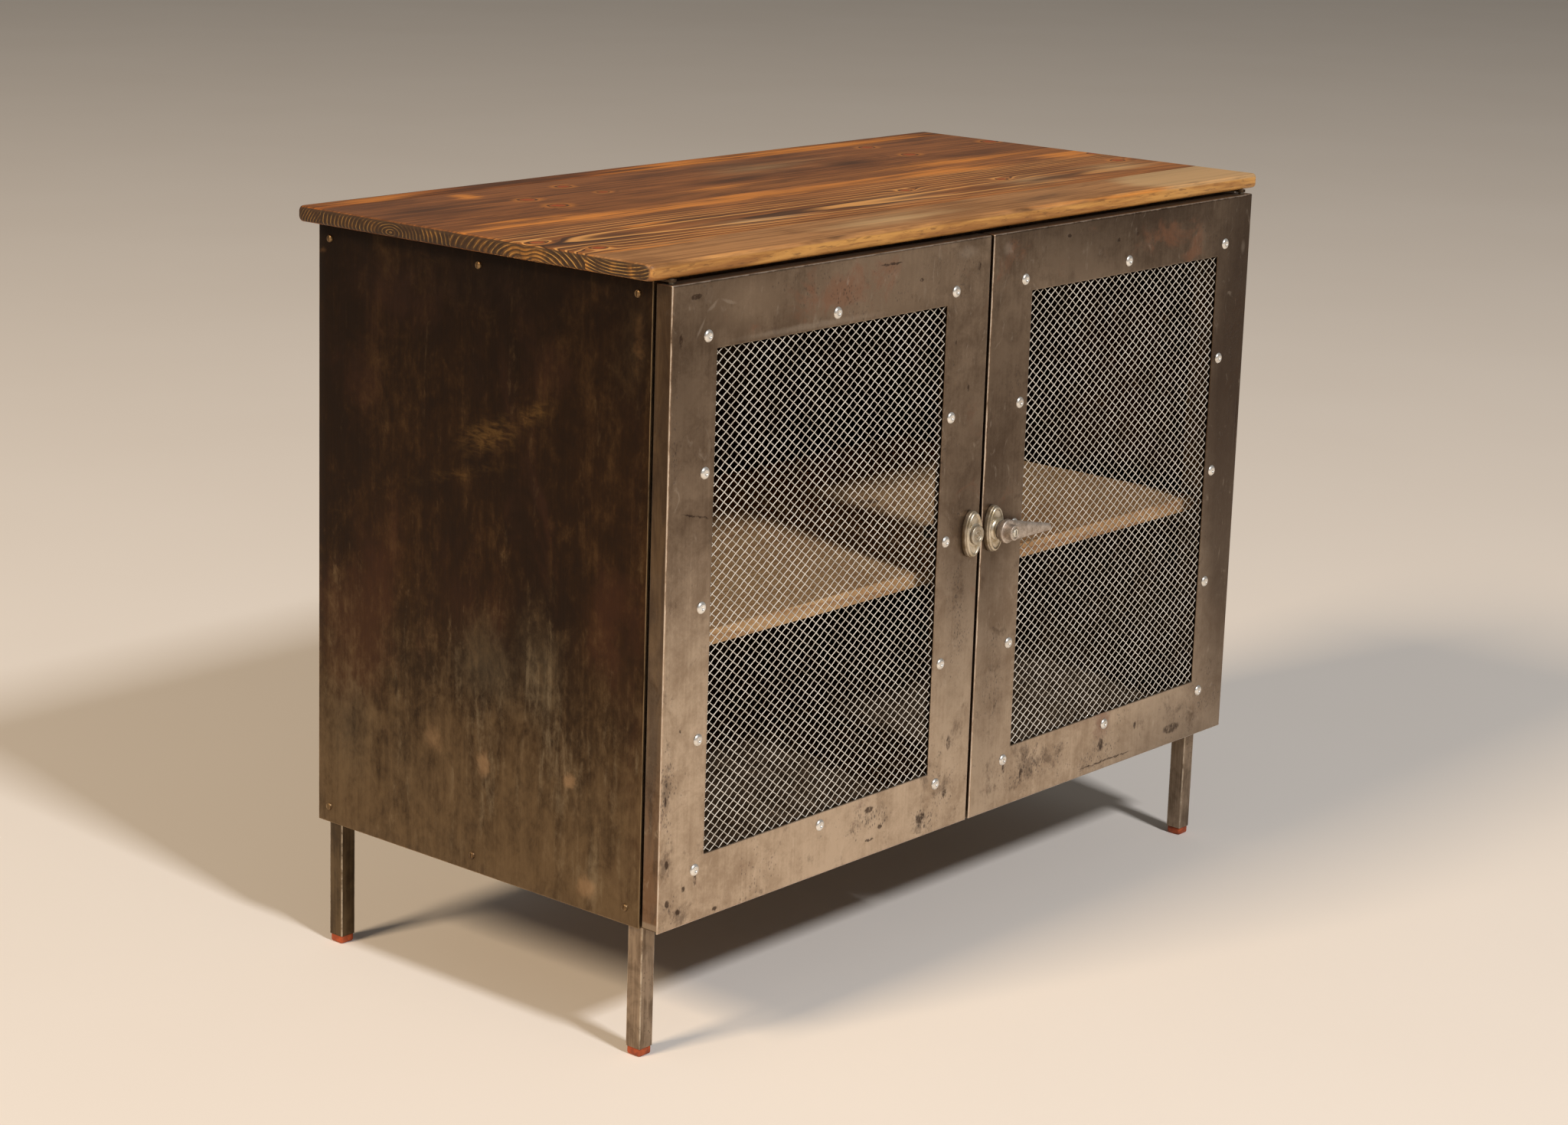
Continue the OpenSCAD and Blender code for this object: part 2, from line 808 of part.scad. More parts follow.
// A blind rivet along Z: domed head above z = 0, spread tail behind the retainer
module rivet() {
    tail_z = -retainer_y1;
    rotate_extrude($fn = 32)
        polygon([[0, tail_z - rivet_tail], [rivet_r, tail_z - rivet_tail],
                 [rivet_r * 1.45, tail_z - rivet_tail * 0.5], [rivet_r * 1.45, tail_z],
                 [rivet_r, tail_z], [rivet_r, 0], [rivet_head_r, 0],
                 [rivet_head_r * 0.94, rivet_head_h * 0.45], [rivet_head_r * 0.7, rivet_head_h * 0.86],
                 [rivet_head_r * 0.38, rivet_head_h], [rivet_head_r * 0.24, rivet_head_h * 0.6],
                 [0, rivet_head_h * 0.6]]);
}

module door_rivets(side) {
    color("#d5d1c8")
        on_side(side)
            for (p = rivet_xz())
                translate([p[0], 0, p[1]])
                    rotate([90, 0, 0])
                        rivet();
}

module left_door_rivets() { door_rivets(-1); }
module right_door_rivets() { door_rivets(1); }

module hinge_blocks(side) {
    color("#8b8072")
        on_side(side)
            for (z = [block_low_z0, block_up_z1 - block_h])
                difference() {
                    box([block_x0, door_skin, z], [body_half - door_skin, block_y1, z + block_h]);
                    translate([pivot_x, pivot_y, z - over])
                        cylinder(r = pin_r + run_gap, h = block_h + 2 * over, $fn = 48);
                }
}

module left_hinge_blocks() { hinge_blocks(-1); }
module right_hinge_blocks() { hinge_blocks(1); }

// Oval rose in three steps, with a barrel through the door and a bore for the spindle
module rose(neck) {
    steps = [[0, 0.62, 1], [0.62, 0.84, 0.93], [0.84, 1, 0.8]];
    translate([handle_off, 0, handle_z])
        rotate([90, 0, 0])
            difference() {
                union() {
                    for (s = steps)
                        translate([0, 0, s[0] * rose_t])
                            linear_extrude((s[1] - s[0]) * rose_t)
                                polygon(oval(rose_w * s[2], rose_h - rose_w * (1 - s[2])));
                    translate([0, 0, -barrel_l])
                        cylinder(r = barrel_r, h = barrel_l + over, $fn = 48);
                    if (neck)
                        translate([0, 0, rose_t - over])
                            cylinder(r = neck_r, h = neck_l + over, $fn = 48);
                }
                translate([0, 0, -barrel_l - over])
                    cylinder(r = spindle_r + run_gap, h = barrel_l + rose_t + neck_l + 2 * over, $fn = 48);
            }
}

module left_rose() {
    color("#c4bda8")
        on_side(-1)
            rose(false);
}

module right_rose() {
    color("#c4bda8")
        on_side(1)
            rose(true);
}

module rose_ring(side) {
    color("#8e887c")
        on_side(side)
            difference() {
                rod_y(handle_off, handle_z, door_skin, door_skin + ring_t, ring_r);
                rod_y(handle_off, handle_z, door_skin - over, door_skin + ring_t + over,
                      barrel_r + fit_gap);
            }
}

module left_rose_ring() { rose_ring(-1); }
module right_rose_ring() { rose_ring(1); }

// Round knob and its spindle, turned in one piece, with two ring grooves in its face
module turn_knob() {
    color("#bdb6a2")
        on_side(-1)
            translate([handle_off, 0, handle_z])
                rotate([90, 0, 0])
                    rotate_extrude($fn = 64)
                        polygon([[0, -spindle_y1], [spindle_r, -spindle_y1], [spindle_r, -knob_y0],
                                 [knob_r, -knob_y0], [knob_r, -knob_y1 - 1], [knob_r - 1, -knob_y1],
                                 [knob_r * 0.8, -knob_y1], [knob_r * 0.8, -knob_y1 - 0.8],
                                 [knob_r * 0.7, -knob_y1 - 0.8], [knob_r * 0.7, -knob_y1],
                                 [knob_r * 0.45, -knob_y1], [knob_r * 0.45, -knob_y1 - 0.8],
                                 [knob_r * 0.35, -knob_y1 - 0.8], [knob_r * 0.35, -knob_y1],
                                 [0, -knob_y1]]);
}

// Flat cam whose tip points to +X before it is turned
module cam() {
    difference() {
        union() {
            rod_y(0, 0, cam_y0, cam_y1, cam_w / 2 + 1);
            box([0, cam_y0, -cam_w / 2], [cam_l, cam_y1, cam_w / 2]);
        }
        rod_y(0, 0, cam_y0 - over, cam_y1 + over, spindle_r + fit_gap);
    }
}

module cam_nut() {
    difference() {
        translate([0, cam_y1 + cam_nut_l, 0])
            rotate([90, 0, 0])
                cylinder(r = cam_nut_r, h = cam_nut_l, $fn = 6);
        rod_y(0, 0, cam_y1 - over, cam_y1 + cam_nut_l + over, spindle_r + fit_gap);
    }
}

module at_handle(side) {
    on_side(side)
        translate([handle_off, 0, handle_z])
            children();
}

module knob_cam() {
    color("#8b8072")
        at_handle(-1)
            cam();
}

module knob_cam_nut() {
    color("#9a9690")
        at_handle(-1)
            cam_nut();
}

module lever_cam() {
    color("#8b8072")
        at_handle(1)
            cam();
}

module lever_cam_nut() {
    color("#9a9690")
        at_handle(1)
            cam_nut();
}

// Outline of the lever seen from the front: round hub, tapered blade, round end
module blade_outline() {
    circle(hub_r, $fn = 64);
    rotate([0, 0, -blade_droop]) {
        polygon([[0, -hub_r + 0.3], [blade_l, -blade_end_r + 0.2],
                 [blade_l, blade_end_r - 0.2], [0, hub_r - 0.3]]);
        translate([blade_l, 0])
            circle(blade_end_r, $fn = 32);
    }
}

// Hub with its waist, tapered blade and lock housing of the lever
module lever_handle() {
    color("#b3ab9b")
        at_handle(1)
            difference() {
                union() {
                    translate([0, hub_y1 + blade_t, 0])
                        rotate([90, 0, 0])
                            linear_extrude(blade_t)
                                blade_outline();
                    rod_y(0, 0, hub_y1 + over, hub_y0, waist_r);
                    rod_y(0, 0, lock_y1, hub_y1 + over, lock_r);
                }
                rod_y(0, 0, plug_y0 + 1, hub_y0 + over, spindle_r + fit_gap);
                rod_y(0, 0, lock_y1 - over, plug_y0, plug_r + run_gap);
            }
}

module lever_spindle() {
    color("#9a9690")
        at_handle(1)
            rod_y(0, 0, plug_y0 + 1, spindle_y1, spindle_r);
}

// Lock plug with its key slot
module lock_plug() {
    color("#d8d3c6")
        at_handle(1)
            difference() {
                rod_y(0, 0, plug_y1, plug_y0, plug_r);
                box([-0.9, plug_y1 - over, -3.6], [0.9, plug_y1 + 4, 3.6]);
            }
}

top_plank_front();
top_plank_middle();
top_plank_back();
top_strip_back();
top_screws();
front_left_post();
front_right_post();
back_left_post();
back_right_post();
top_front_rail();
top_back_rail();
top_left_rail();
top_right_rail();
bottom_front_rail();
bottom_back_rail();
bottom_left_rail();
bottom_right_rail();
left_hinge_plates();
right_hinge_plates();
back_post_plates();
front_left_leg();
front_right_leg();
back_left_leg();
back_right_leg();
foot_plugs();
left_side_panel();
right_side_panel();
back_panel();
cabinet_floor();
side_screws();
back_screws();
shelf();
left_shelf_cleat();
right_shelf_cleat();
shelf_screws();
latch_keeper();
hinge_pins();
door_bumpers();
left_door_pan();
left_door_mesh();
left_mesh_retainer();
left_door_rivets();
left_hinge_blocks();
left_rose();
left_rose_ring();
turn_knob();
knob_cam();
knob_cam_nut();
right_door_pan();
right_door_mesh();
right_mesh_retainer();
right_door_rivets();
right_hinge_blocks();
right_rose();
right_rose_ring();
lever_handle();
lever_spindle();
lever_cam();
lever_cam_nut();
lock_plug();
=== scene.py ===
"""Looks of the low steel cabinet: patinated sheet, woven wire windows, pine boards, cast handles.

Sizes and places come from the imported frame. Lengths are metres, +Y points to the back.
"""
import json
import logging
import math
from collections.abc import Callable, Sequence
from dataclasses import dataclass
from enum import Enum

import bmesh
import bpy
import numpy as np
from mathutils import Matrix, Vector


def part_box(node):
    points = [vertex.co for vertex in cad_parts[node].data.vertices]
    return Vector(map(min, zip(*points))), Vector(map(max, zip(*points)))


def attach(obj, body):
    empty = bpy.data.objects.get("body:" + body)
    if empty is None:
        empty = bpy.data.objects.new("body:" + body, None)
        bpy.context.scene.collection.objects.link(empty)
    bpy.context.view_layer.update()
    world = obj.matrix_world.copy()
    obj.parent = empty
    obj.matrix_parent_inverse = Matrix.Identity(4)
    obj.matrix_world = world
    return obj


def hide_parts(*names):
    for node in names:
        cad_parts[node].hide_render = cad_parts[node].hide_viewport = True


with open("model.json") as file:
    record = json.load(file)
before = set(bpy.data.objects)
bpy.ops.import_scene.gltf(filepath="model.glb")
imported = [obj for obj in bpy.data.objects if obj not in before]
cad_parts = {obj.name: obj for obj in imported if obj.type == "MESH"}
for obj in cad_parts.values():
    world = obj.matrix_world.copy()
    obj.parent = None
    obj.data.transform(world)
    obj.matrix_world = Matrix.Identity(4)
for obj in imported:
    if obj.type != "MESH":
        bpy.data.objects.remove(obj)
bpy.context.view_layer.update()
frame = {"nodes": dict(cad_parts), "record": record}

LOG = logging.getLogger("cabinet")
MM = 0.001
FAR = 50.0
WELD = 0.002 * MM
SOFT = 0.25 * MM
CAST_CREASE = 42.0
CORNER_STEPS = 5
NO_TURN = (0.0, 0.0, 0.0)
CORNERS = ("front_left", "front_right", "back_left", "back_right")
Array = np.ndarray
Rgb = tuple[float, float, float]
Material = bpy.types.Material
Piece = bpy.types.Object
Socket = bpy.types.NodeSocket
Scale = float | Sequence[float]
Rows = Sequence[Sequence[float]]
BODY_OF = {node: body for body, nodes in frame["record"]["behaviour"]["bodies"].items()
           for node in nodes}


class Side(Enum):
    """The two doors, named by the side of the middle that they lie on."""

    LEFT = -1
    RIGHT = 1

    @property
    def word(self) -> str:
        """The side's name as the nodes spell it."""
        return self.name.lower()


def rgb(*levels: int) -> Rgb:
    """Turns an 8-bit screen colour into the linear colour that a material takes.

    Args:
        levels: Red, green and blue from 0 to 255.

    Returns:
        The three linear values.
    """
    parts = np.array(levels) / 255.0
    linear = np.where(parts <= 0.04045, parts / 12.92, ((parts + 0.055) / 1.055) ** 2.4)
    return tuple(linear.tolist())


def corners(node: str) -> tuple[Array, Array]:
    """Gives a node's lowest and highest corner as arrays."""
    low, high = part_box(node)
    return np.array(low), np.array(high)


def operator(operation: str, swapped: bool = False) -> Callable[..., "Value"]:
    """Makes a method of Value that adds one Math node.

    Args:
        operation: The operation's name in the node.
        swapped: Whether the value is the second input and not the first.

    Returns:
        The method.
    """
    def method(value: "Value", *others: "Value | float") -> "Value":
        """The operation's result as a value."""
        return value.math(operation, *(others + (value,) if swapped else (value,) + others))
    return method


class Value:
    """A float socket in an expression: every operator adds one Math node."""

    __add__ = operator("ADD")
    __radd__ = operator("ADD", True)
    __sub__ = operator("SUBTRACT")
    __rsub__ = operator("SUBTRACT", True)
    __mul__ = operator("MULTIPLY")
    __truediv__ = operator("DIVIDE")
    __pow__ = operator("POWER")
    __abs__ = operator("ABSOLUTE")
    least = operator("MINIMUM")
    most = operator("MAXIMUM")
    root = operator("SQRT")
    fraction = operator("FRACT")

    def __init__(self, shader: "Shader", socket: Socket) -> None:
        """Wraps an output socket of a shader's tree."""
        self.shader = shader
        self.socket = socket

    def math(self, operation: str, *values: "Value | float", clamp: bool = False) -> "Value":
        """Adds a Math node.

        Args:
            operation: The operation's name in the node.
            values: The inputs in order.
            clamp: Whether the result stays between 0 and 1.

        Returns:
            The node's result.
        """
        node = self.shader.node("ShaderNodeMath", {"operation": operation, "use_clamp": clamp},
                                dict(enumerate(values)))
        return Value(self.shader, node.outputs[0])

    def clamp(self) -> "Value":
        """The value kept between 0 and 1."""
        return self.math("ADD", self, 0.0, clamp=True)

    def rise(self, low: float, high: float) -> "Value":
        """Smooth step from 0 at low to 1 at high; it falls where low lies above high.

        Args:
            low: Where the result is 0.
            high: Where the result is 1.

        Returns:
            The step.
        """
        start, end = (0.0, 1.0) if low < high else (1.0, 0.0)
        node = self.shader.node("ShaderNodeMapRange", {"interpolation_type": "SMOOTHSTEP"},
                                {0: self, 1: min(low, high), 2: max(low, high), 3: start, 4: end})
        return Value(self.shader, node.outputs[0])


class Shader:
    """A material's node tree on object coordinates that ends in one Principled surface."""

    def __init__(self, name: str) -> None:
        """Starts the named material's empty tree with its coordinates."""
        self.material = bpy.data.materials.new(name)
        self.material.use_nodes = True
        self.tree = self.material.node_tree
        self.tree.nodes.clear()
        self.place = self.node("ShaderNodeTexCoord").outputs["Object"]
        self.colour: Rgb | Socket = (0.0, 0.0, 0.0)

    def node(self, kind: str, settings: dict | None = None,
             sockets: dict | None = None) -> bpy.types.Node:
        """Adds a node of any type.

        Args:
            kind: The node's type.
            settings: Properties, set first.
            sockets: Values or links of the inputs, by name or number.

        Returns:
            The new node.
        """
        node = self.tree.nodes.new(kind)
        for name, value in (settings or {}).items():
            setattr(node, name, value)
        for key, value in (sockets or {}).items():
            value = value.socket if isinstance(value, Value) else value
            if isinstance(value, Socket):
                self.tree.links.new(value, node.inputs[key])
            else:
                node.inputs[key].default_value = value
        return node

    def axes(self) -> tuple[Value, Value, Value]:
        """Gives the point's X, Y and Z."""
        split = self.node("ShaderNodeSeparateXYZ", None, {0: self.place})
        return tuple(Value(self, socket) for socket in split.outputs)

    def mapped(self, scale: Scale, move: Sequence[float],
               turn: Sequence[float] = NO_TURN) -> Socket:
        """Moves, turns and stretches the coordinates.

        Args:
            scale: Factors, one number or one for each axis.
            move: Shift after the rest.
            turn: Turns in radians.

        Returns:
            The mapped coordinates.
        """
        each = (scale,) * 3 if isinstance(scale, float) else scale
        return self.node("ShaderNodeMapping", None, {"Vector": self.place, "Scale": each,
                                                     "Rotation": turn, "Location": move}).outputs[0]

    def _clouds(self, scale: Scale, detail: float, rough: float, swirl: float, shift: float,
                turn: Sequence[float] = NO_TURN) -> bpy.types.Node:
        """Adds a cloud noise node; what it takes is what noise() takes."""
        place = self.mapped(scale, (shift, shift * 0.7, shift * 1.3), turn)
        return self.node("ShaderNodeTexNoise", None, {
            "Vector": place, "Scale": 1.0, "Detail": detail, "Roughness": rough,
            "Distortion": swirl})

    def noise(self, scale: Scale, detail: float = 3.0, rough: float = 0.5, swirl: float = 0.0,
              shift: float = 0.0, turn: Sequence[float] = NO_TURN) -> Value:
        """Cloud noise about 0.5.

        Args:
            scale: Clouds per metre, one number or one for each axis.
            detail: How many finer octaves it has.
            rough: How strong they are.
            swirl: Distortion.
            shift: Offset that gives another pattern.
            turn: Turns of the pattern in radians.

        Returns:
            The noise.
        """
        return Value(self, self._clouds(scale, detail, rough, swirl, shift, turn).outputs[0])

    def warped(self, scale: Scale, reach: float, shift: float = 0.0) -> Socket:
        """Pushes the coordinates about by coloured cloud noise.

        Args:
            scale: Clouds per metre, one number or one for each axis.
            reach: Metres between the furthest pushes.
            shift: Offset that gives another pattern.

        Returns:
            The pushed coordinates.
        """
        noise = self._clouds(scale, 4.0, 0.6, 0.0, shift)
        push = self.node("ShaderNodeVectorMath", {"operation": "MULTIPLY_ADD"},
                         {0: noise.outputs[1], 1: (reach,) * 3, 2: (-reach / 2.0,) * 3})
        total = self.node("ShaderNodeVectorMath", {"operation": "ADD"},
                          {0: self.place, 1: push.outputs[0]})
        return total.outputs[0]

    def cells(self, scale: Scale, shift: float) -> Value:
        """Distance to the nearest of scattered points, in cell widths.

        Args:
            scale: Cells per metre, one number or one for each axis.
            shift: Offset that gives another pattern.

        Returns:
            The distance.
        """
        node = self.node("ShaderNodeTexVoronoi", None,
                         {"Vector": self.mapped(scale, (shift,) * 3), "Scale": 1.0})
        return Value(self, node.outputs["Distance"])

    def mix(self, factor: Value | float, low: Rgb | Socket,
            high: Rgb | Socket, blend: str = "MIX") -> Socket:
        """Mixes two colours.

        Args:
            factor: Share of the second colour.
            low: The first colour.
            high: The second colour.
            blend: How they mix.

        Returns:
            The mixed colour.
        """
        pair = [(*c, 1.0) if isinstance(c, tuple) else c for c in (low, high)]
        node = self.node("ShaderNodeMix", {"data_type": "RGBA", "blend_type": blend},
                         {0: factor, 6: pair[0], 7: pair[1]})
        return node.outputs[2]

    def paint(self, share: Value | float, over: Rgb | Socket, blend: str = "MIX") -> None:
        """Lays a colour over the surface's colour so far.

        Args:
            share: How much of what is there it covers.
            over: The colour.
            blend: How they mix.
        """
        self.colour = self.mix(share, self.colour, over, blend)

    def bump(self, height: Value, depth: float) -> Socket:
        """Turns heights from 0 to 1 into a normal, with the depth between those two in metres."""
        return self.node("ShaderNodeBump", None, {"Height": height, "Distance": depth,
                                                  "Strength": 1.0}).outputs[0]

    def surface(self, **sockets: object) -> Material:
        """Ends the tree with the colour so far.

        Args:
            sockets: Other inputs of the Principled shader, with _ for a space.

        Returns:
            The finished material.
        """
        inputs = {name.replace("_", " "): value for name, value in sockets.items()}
        shader = self.node("ShaderNodeBsdfPrincipled", None, {"Base Color": self.colour} | inputs)
        self.node("ShaderNodeOutputMaterial", None, {"Surface": shader.outputs[0]})
        return self.material


@dataclass(frozen=True)
class Patch:
    """A soft elliptic patch on a flat face, in millimetres from one corner of that face.

    Finishes list their patches as rows of these numbers. The turn, in radians, leans it.
    """

    along: float
    up: float
    half_along: float
    half_up: float
    strength: float = 1.0
    turn: float = 0.0


@dataclass(frozen=True)
class Face:
    """A flat face that patches lie on: its two axes, corner and directions."""

    axes: tuple[int, int]
    corner: tuple[float, float]
    ways: tuple[float, float] = (1.0, 1.0)

    def strongest(self, s: Shader, rows: Rows, place: Socket) -> Value:
        """Strength of the strongest patch, each falling evenly from its middle to 0.

        Args:
            s: The tree.
            rows: The patches, each as the numbers of a Patch.
            place: The coordinates, often pushed about by noise for ragged outlines.

        Returns:
            The strength.
        """
        total = s.axes()[0] * 0.0
        third = 3 - sum(self.axes)
        hand = self.ways[0] * self.ways[1] * (-1.0 if third == 1 else 1.0)
        for row in rows:
            patch = Patch(*row)
            location, scale, turn = [0.0] * 3, [FAR] * 3, [0.0] * 3
            for axis, corner, way, middle, half in zip(
                    self.axes, self.corner, self.ways, (patch.along, patch.up),
                    (patch.half_along, patch.half_up)):
                location[axis] = corner + way * middle * MM
                scale[axis] = half * MM
            turn[third] = patch.turn * hand
            node = s.node("ShaderNodeMapping", {"vector_type": "TEXTURE"},
                          {"Vector": place, "Location": location, "Rotation": turn,
                           "Scale": scale})
            ball = s.node("ShaderNodeTexGradient", {"gradient_type": "SPHERICAL"},
                          {"Vector": node.outputs[0]})
            total = total.most(Value(s, ball.outputs[1]) * patch.strength)
        return total

    def distances(self, s: Shader) -> tuple[Value, Value]:
        """Distances from the corner along both axes, in metres."""
        place = s.axes()
        first, second = [(place[axis] - corner) * way for axis, corner, way
                         in zip(self.axes, self.corner, self.ways)]
        return first, second


@dataclass(frozen=True)
class DoorSteel:
    """Bare grey-brown sheet with soft clouds, rust pits, scuffs and rubbed bright edges, with
    painted light and shade: a floor reflection at the foot, lit areas and shaded areas.

    Places on the door are millimetres in from its outer edge and up from its foot.
    """

    name: str
    low: Array
    high: Array
    side: Side
    stained: Rows
    rusty: Rows
    scuffed: Rows
    marked: Rows
    shaded: Rows
    # Areas painted lighter, as light falling on the door.
    bright: Rows = ()
    plain: Rgb = rgb(154, 134, 113)
    deep: Rgb = rgb(104, 86, 69)
    # Lighter colours painted in as light: the lit floor's reflection towards the foot, and the
    # bright areas.
    low_plain: Rgb = rgb(206, 186, 163)
    low_deep: Rgb = rgb(160, 139, 117)
    stain: Rgb = rgb(84, 65, 50)
    rust: Rgb = rgb(124, 78, 48)
    pit: Rgb = rgb(58, 41, 30)
    rubbed: Rgb = rgb(228, 214, 196)
    worn: Rgb = rgb(166, 118, 78)
    patina: Rgb = rgb(58, 43, 30)
    shadow: Rgb = rgb(58, 41, 27)

    def build(self) -> Material:
        """Makes the material."""
        s = Shader(self.name)
        x, y, z = s.axes()
        left = self.side is Side.LEFT
        face = Face((0, 2), ((self.low if left else self.high)[0], self.low[2]),
                    (1.0 if left else -1.0, 1.0))
        seed = 0.0 if left else 21.0
        ragged = s.warped(28.0, 22.0 * MM, seed)
        clouds = s.noise(6.0, 6.0, 0.64, 0.5, seed)
        mottle = s.noise(34.0, 5.0, 0.68, 0.4, seed + 3.0)
        grit = s.noise(420.0, 2.0, 0.6, 0.0, 8.0)
        brushed = s.noise((230.0, 230.0, 6.0), 3.0, 0.62, 0.2, 1.0)
        tone = clouds * 0.45 + mottle * 0.35 + brushed * 0.12 + grit * 0.08
        s.colour = s.mix(tone.rise(0.38, 0.63), self.deep, self.plain)
        # Painted reflection of the lit floor: the sheet turns lighter towards its foot.
        foot = (z - self.low[2] + (clouds - 0.5) * 0.22).rise(0.44, 0.2)
        s.paint(foot, s.mix(tone.rise(0.36, 0.6), self.low_deep, self.low_plain))
        # Painted light: the bright patches lighten the sheet where light falls on it.
        lit = face.strongest(s, self.bright, ragged)
        s.paint(lit.rise(0.0, 0.6) * 0.55, self.low_deep)
        shade = face.strongest(s, self.shaded, ragged) + (clouds - 0.5) * (0.3 - lit * 0.3)
        s.paint(shade.clamp() * 0.85, self.shadow)
        crowd = face.strongest(s, self.stained, ragged)
        reds = face.strongest(s, self.rusty, ragged)
        soft = s.noise(26.0, 5.0, 0.7, 0.4, seed + 9.0)
        crumbs = s.noise((170.0, 170.0, 110.0), 4.0, 0.7, 0.3, seed + 14.0)
        stain = (soft + crowd * 0.2 + (crumbs - 0.5) * 0.5).rise(0.58, 0.78)
        s.paint(stain * 0.5, self.stain)
        rust = (s.noise(17.0, 5.0, 0.7, 0.6, seed + 5.0) + reds * 0.3).rise(0.6, 0.8)
        s.paint(rust * 0.6, self.rust)
        flecks = self._flecks(s, crowd + reds * 0.5, seed)
        s.paint(flecks * 0.8, self.pit)
        wisps = s.noise((70.0, 70.0, 34.0), 4.0, 0.6, 1.2, seed + 6.0).rise(0.6, 0.76)
        s.paint(wisps * 0.16, self.rubbed)
        scuffs = face.strongest(s, self.scuffed, s.warped(90.0, 5.0 * MM, 5.0)).rise(0.0, 0.7)
        s.paint(scuffs * 0.15, self.rubbed)
        marks = face.strongest(s, self.marked, s.warped(150.0, 6.0 * MM, 7.0)).rise(0.15, 0.42)
        s.paint(marks * crumbs.rise(0.3, 0.56) * 0.85, self.pit)
        rim = self._edge(x, z)
        front = y.rise(self.low[1] + 1.7 * MM, self.low[1] + 0.7 * MM)
        chips = s.noise((70.0, 70.0, 45.0), 4.0, 0.68, 0.0, 5.0)
        s.paint((rim * 0.6 + chips - 0.5).rise(0.3, 0.6) * front * 0.55, self.worn)
        s.paint((rim + (chips - 0.5) * 0.9).rise(0.72, 1.0) * front * 0.85, self.rubbed)
        fold = y.rise(self.low[1] + 0.6 * MM, self.low[1] + 1.9 * MM)
        s.paint(fold * 0.85, self._return_colour(s, z))
        ledge = z.rise(self.high[2] - 1.2 * MM, self.high[2] - 0.4 * MM) * fold
        s.paint(ledge * 0.75, self.plain)
        rough = 0.24 + mottle * 0.14 + grit * 0.06 + (flecks + stain + rust) * 0.12
        grain = mottle * 0.35 + brushed * 0.2 + grit * 0.25 - flecks * 0.6 - marks * 0.6
        return s.surface(Metallic=0.9 - (flecks + rust).clamp() * 0.35,
                         Roughness=rough, Normal=s.bump(grain, 0.2 * MM))

    def _edge(self, x: Value, z: Value) -> Value:
        """Nearness to the door's outline: 1 on it, 0 from 4 mm inside."""
        sides = (x - self.low[0]).least(float(self.high[0]) - x)
        ends = (z - self.low[2]).least(float(self.high[2]) - z)
        return sides.least(ends).rise(4.0 * MM, 0.0)

    @staticmethod
    def _flecks(s: Shader, crowd: Value, seed: float) -> Value:
        """Dark rust flecks, taller than wide, thick where the sheet is stained.

        Args:
            s: The tree.
            crowd: How stained the sheet is.
            seed: Picks the pattern.

        Returns:
            1 inside a fleck.
        """
        uneven = s.noise(13.0, 4.0, 0.65, 0.5, seed + 12.0) + crowd * 0.3
        small = s.cells((330.0, 330.0, 200.0), seed + 2.0).rise(0.36, 0.2)
        large = s.cells((180.0, 180.0, 110.0), seed + 6.0).rise(0.36, 0.2)
        ragged = s.noise(240.0, 3.0, 0.6, 0.0, 4.0)
        some = (uneven + (ragged - 0.5) * 0.5).rise(0.56, 0.74)
        few = (uneven + (ragged - 0.5) * 0.5).rise(0.66, 0.86)
        return (small * some * 0.8).most(large * few).clamp()

    def _return_colour(self, s: Shader, z: Value) -> Socket:
        """Darker patina of the folded sides: greenish above, orange-brown towards the foot."""
        drip = s.noise((50.0, 50.0, 9.0), 5.0, 0.66, 0.6, 13.0)
        colour = s.mix(drip.rise(0.4, 0.66), self.patina, rgb(90, 71, 50))
        up = z - self.low[2]
        low = (up + (drip - 0.5) * 0.2).rise(0.24, 0.02)
        colour = s.mix(low * drip.rise(0.36, 0.6) * 0.6, colour, rgb(126, 88, 58))
        ash = s.noise((34.0, 34.0, 22.0), 4.0, 0.7, 0.4, 17.0).rise(0.58, 0.7)
        colour = s.mix(ash * low * 0.7, colour, rgb(176, 158, 132))
        return s.mix(up.rise(11.0 * MM, 8.0 * MM) * 0.7, colour, rgb(150, 134, 114))


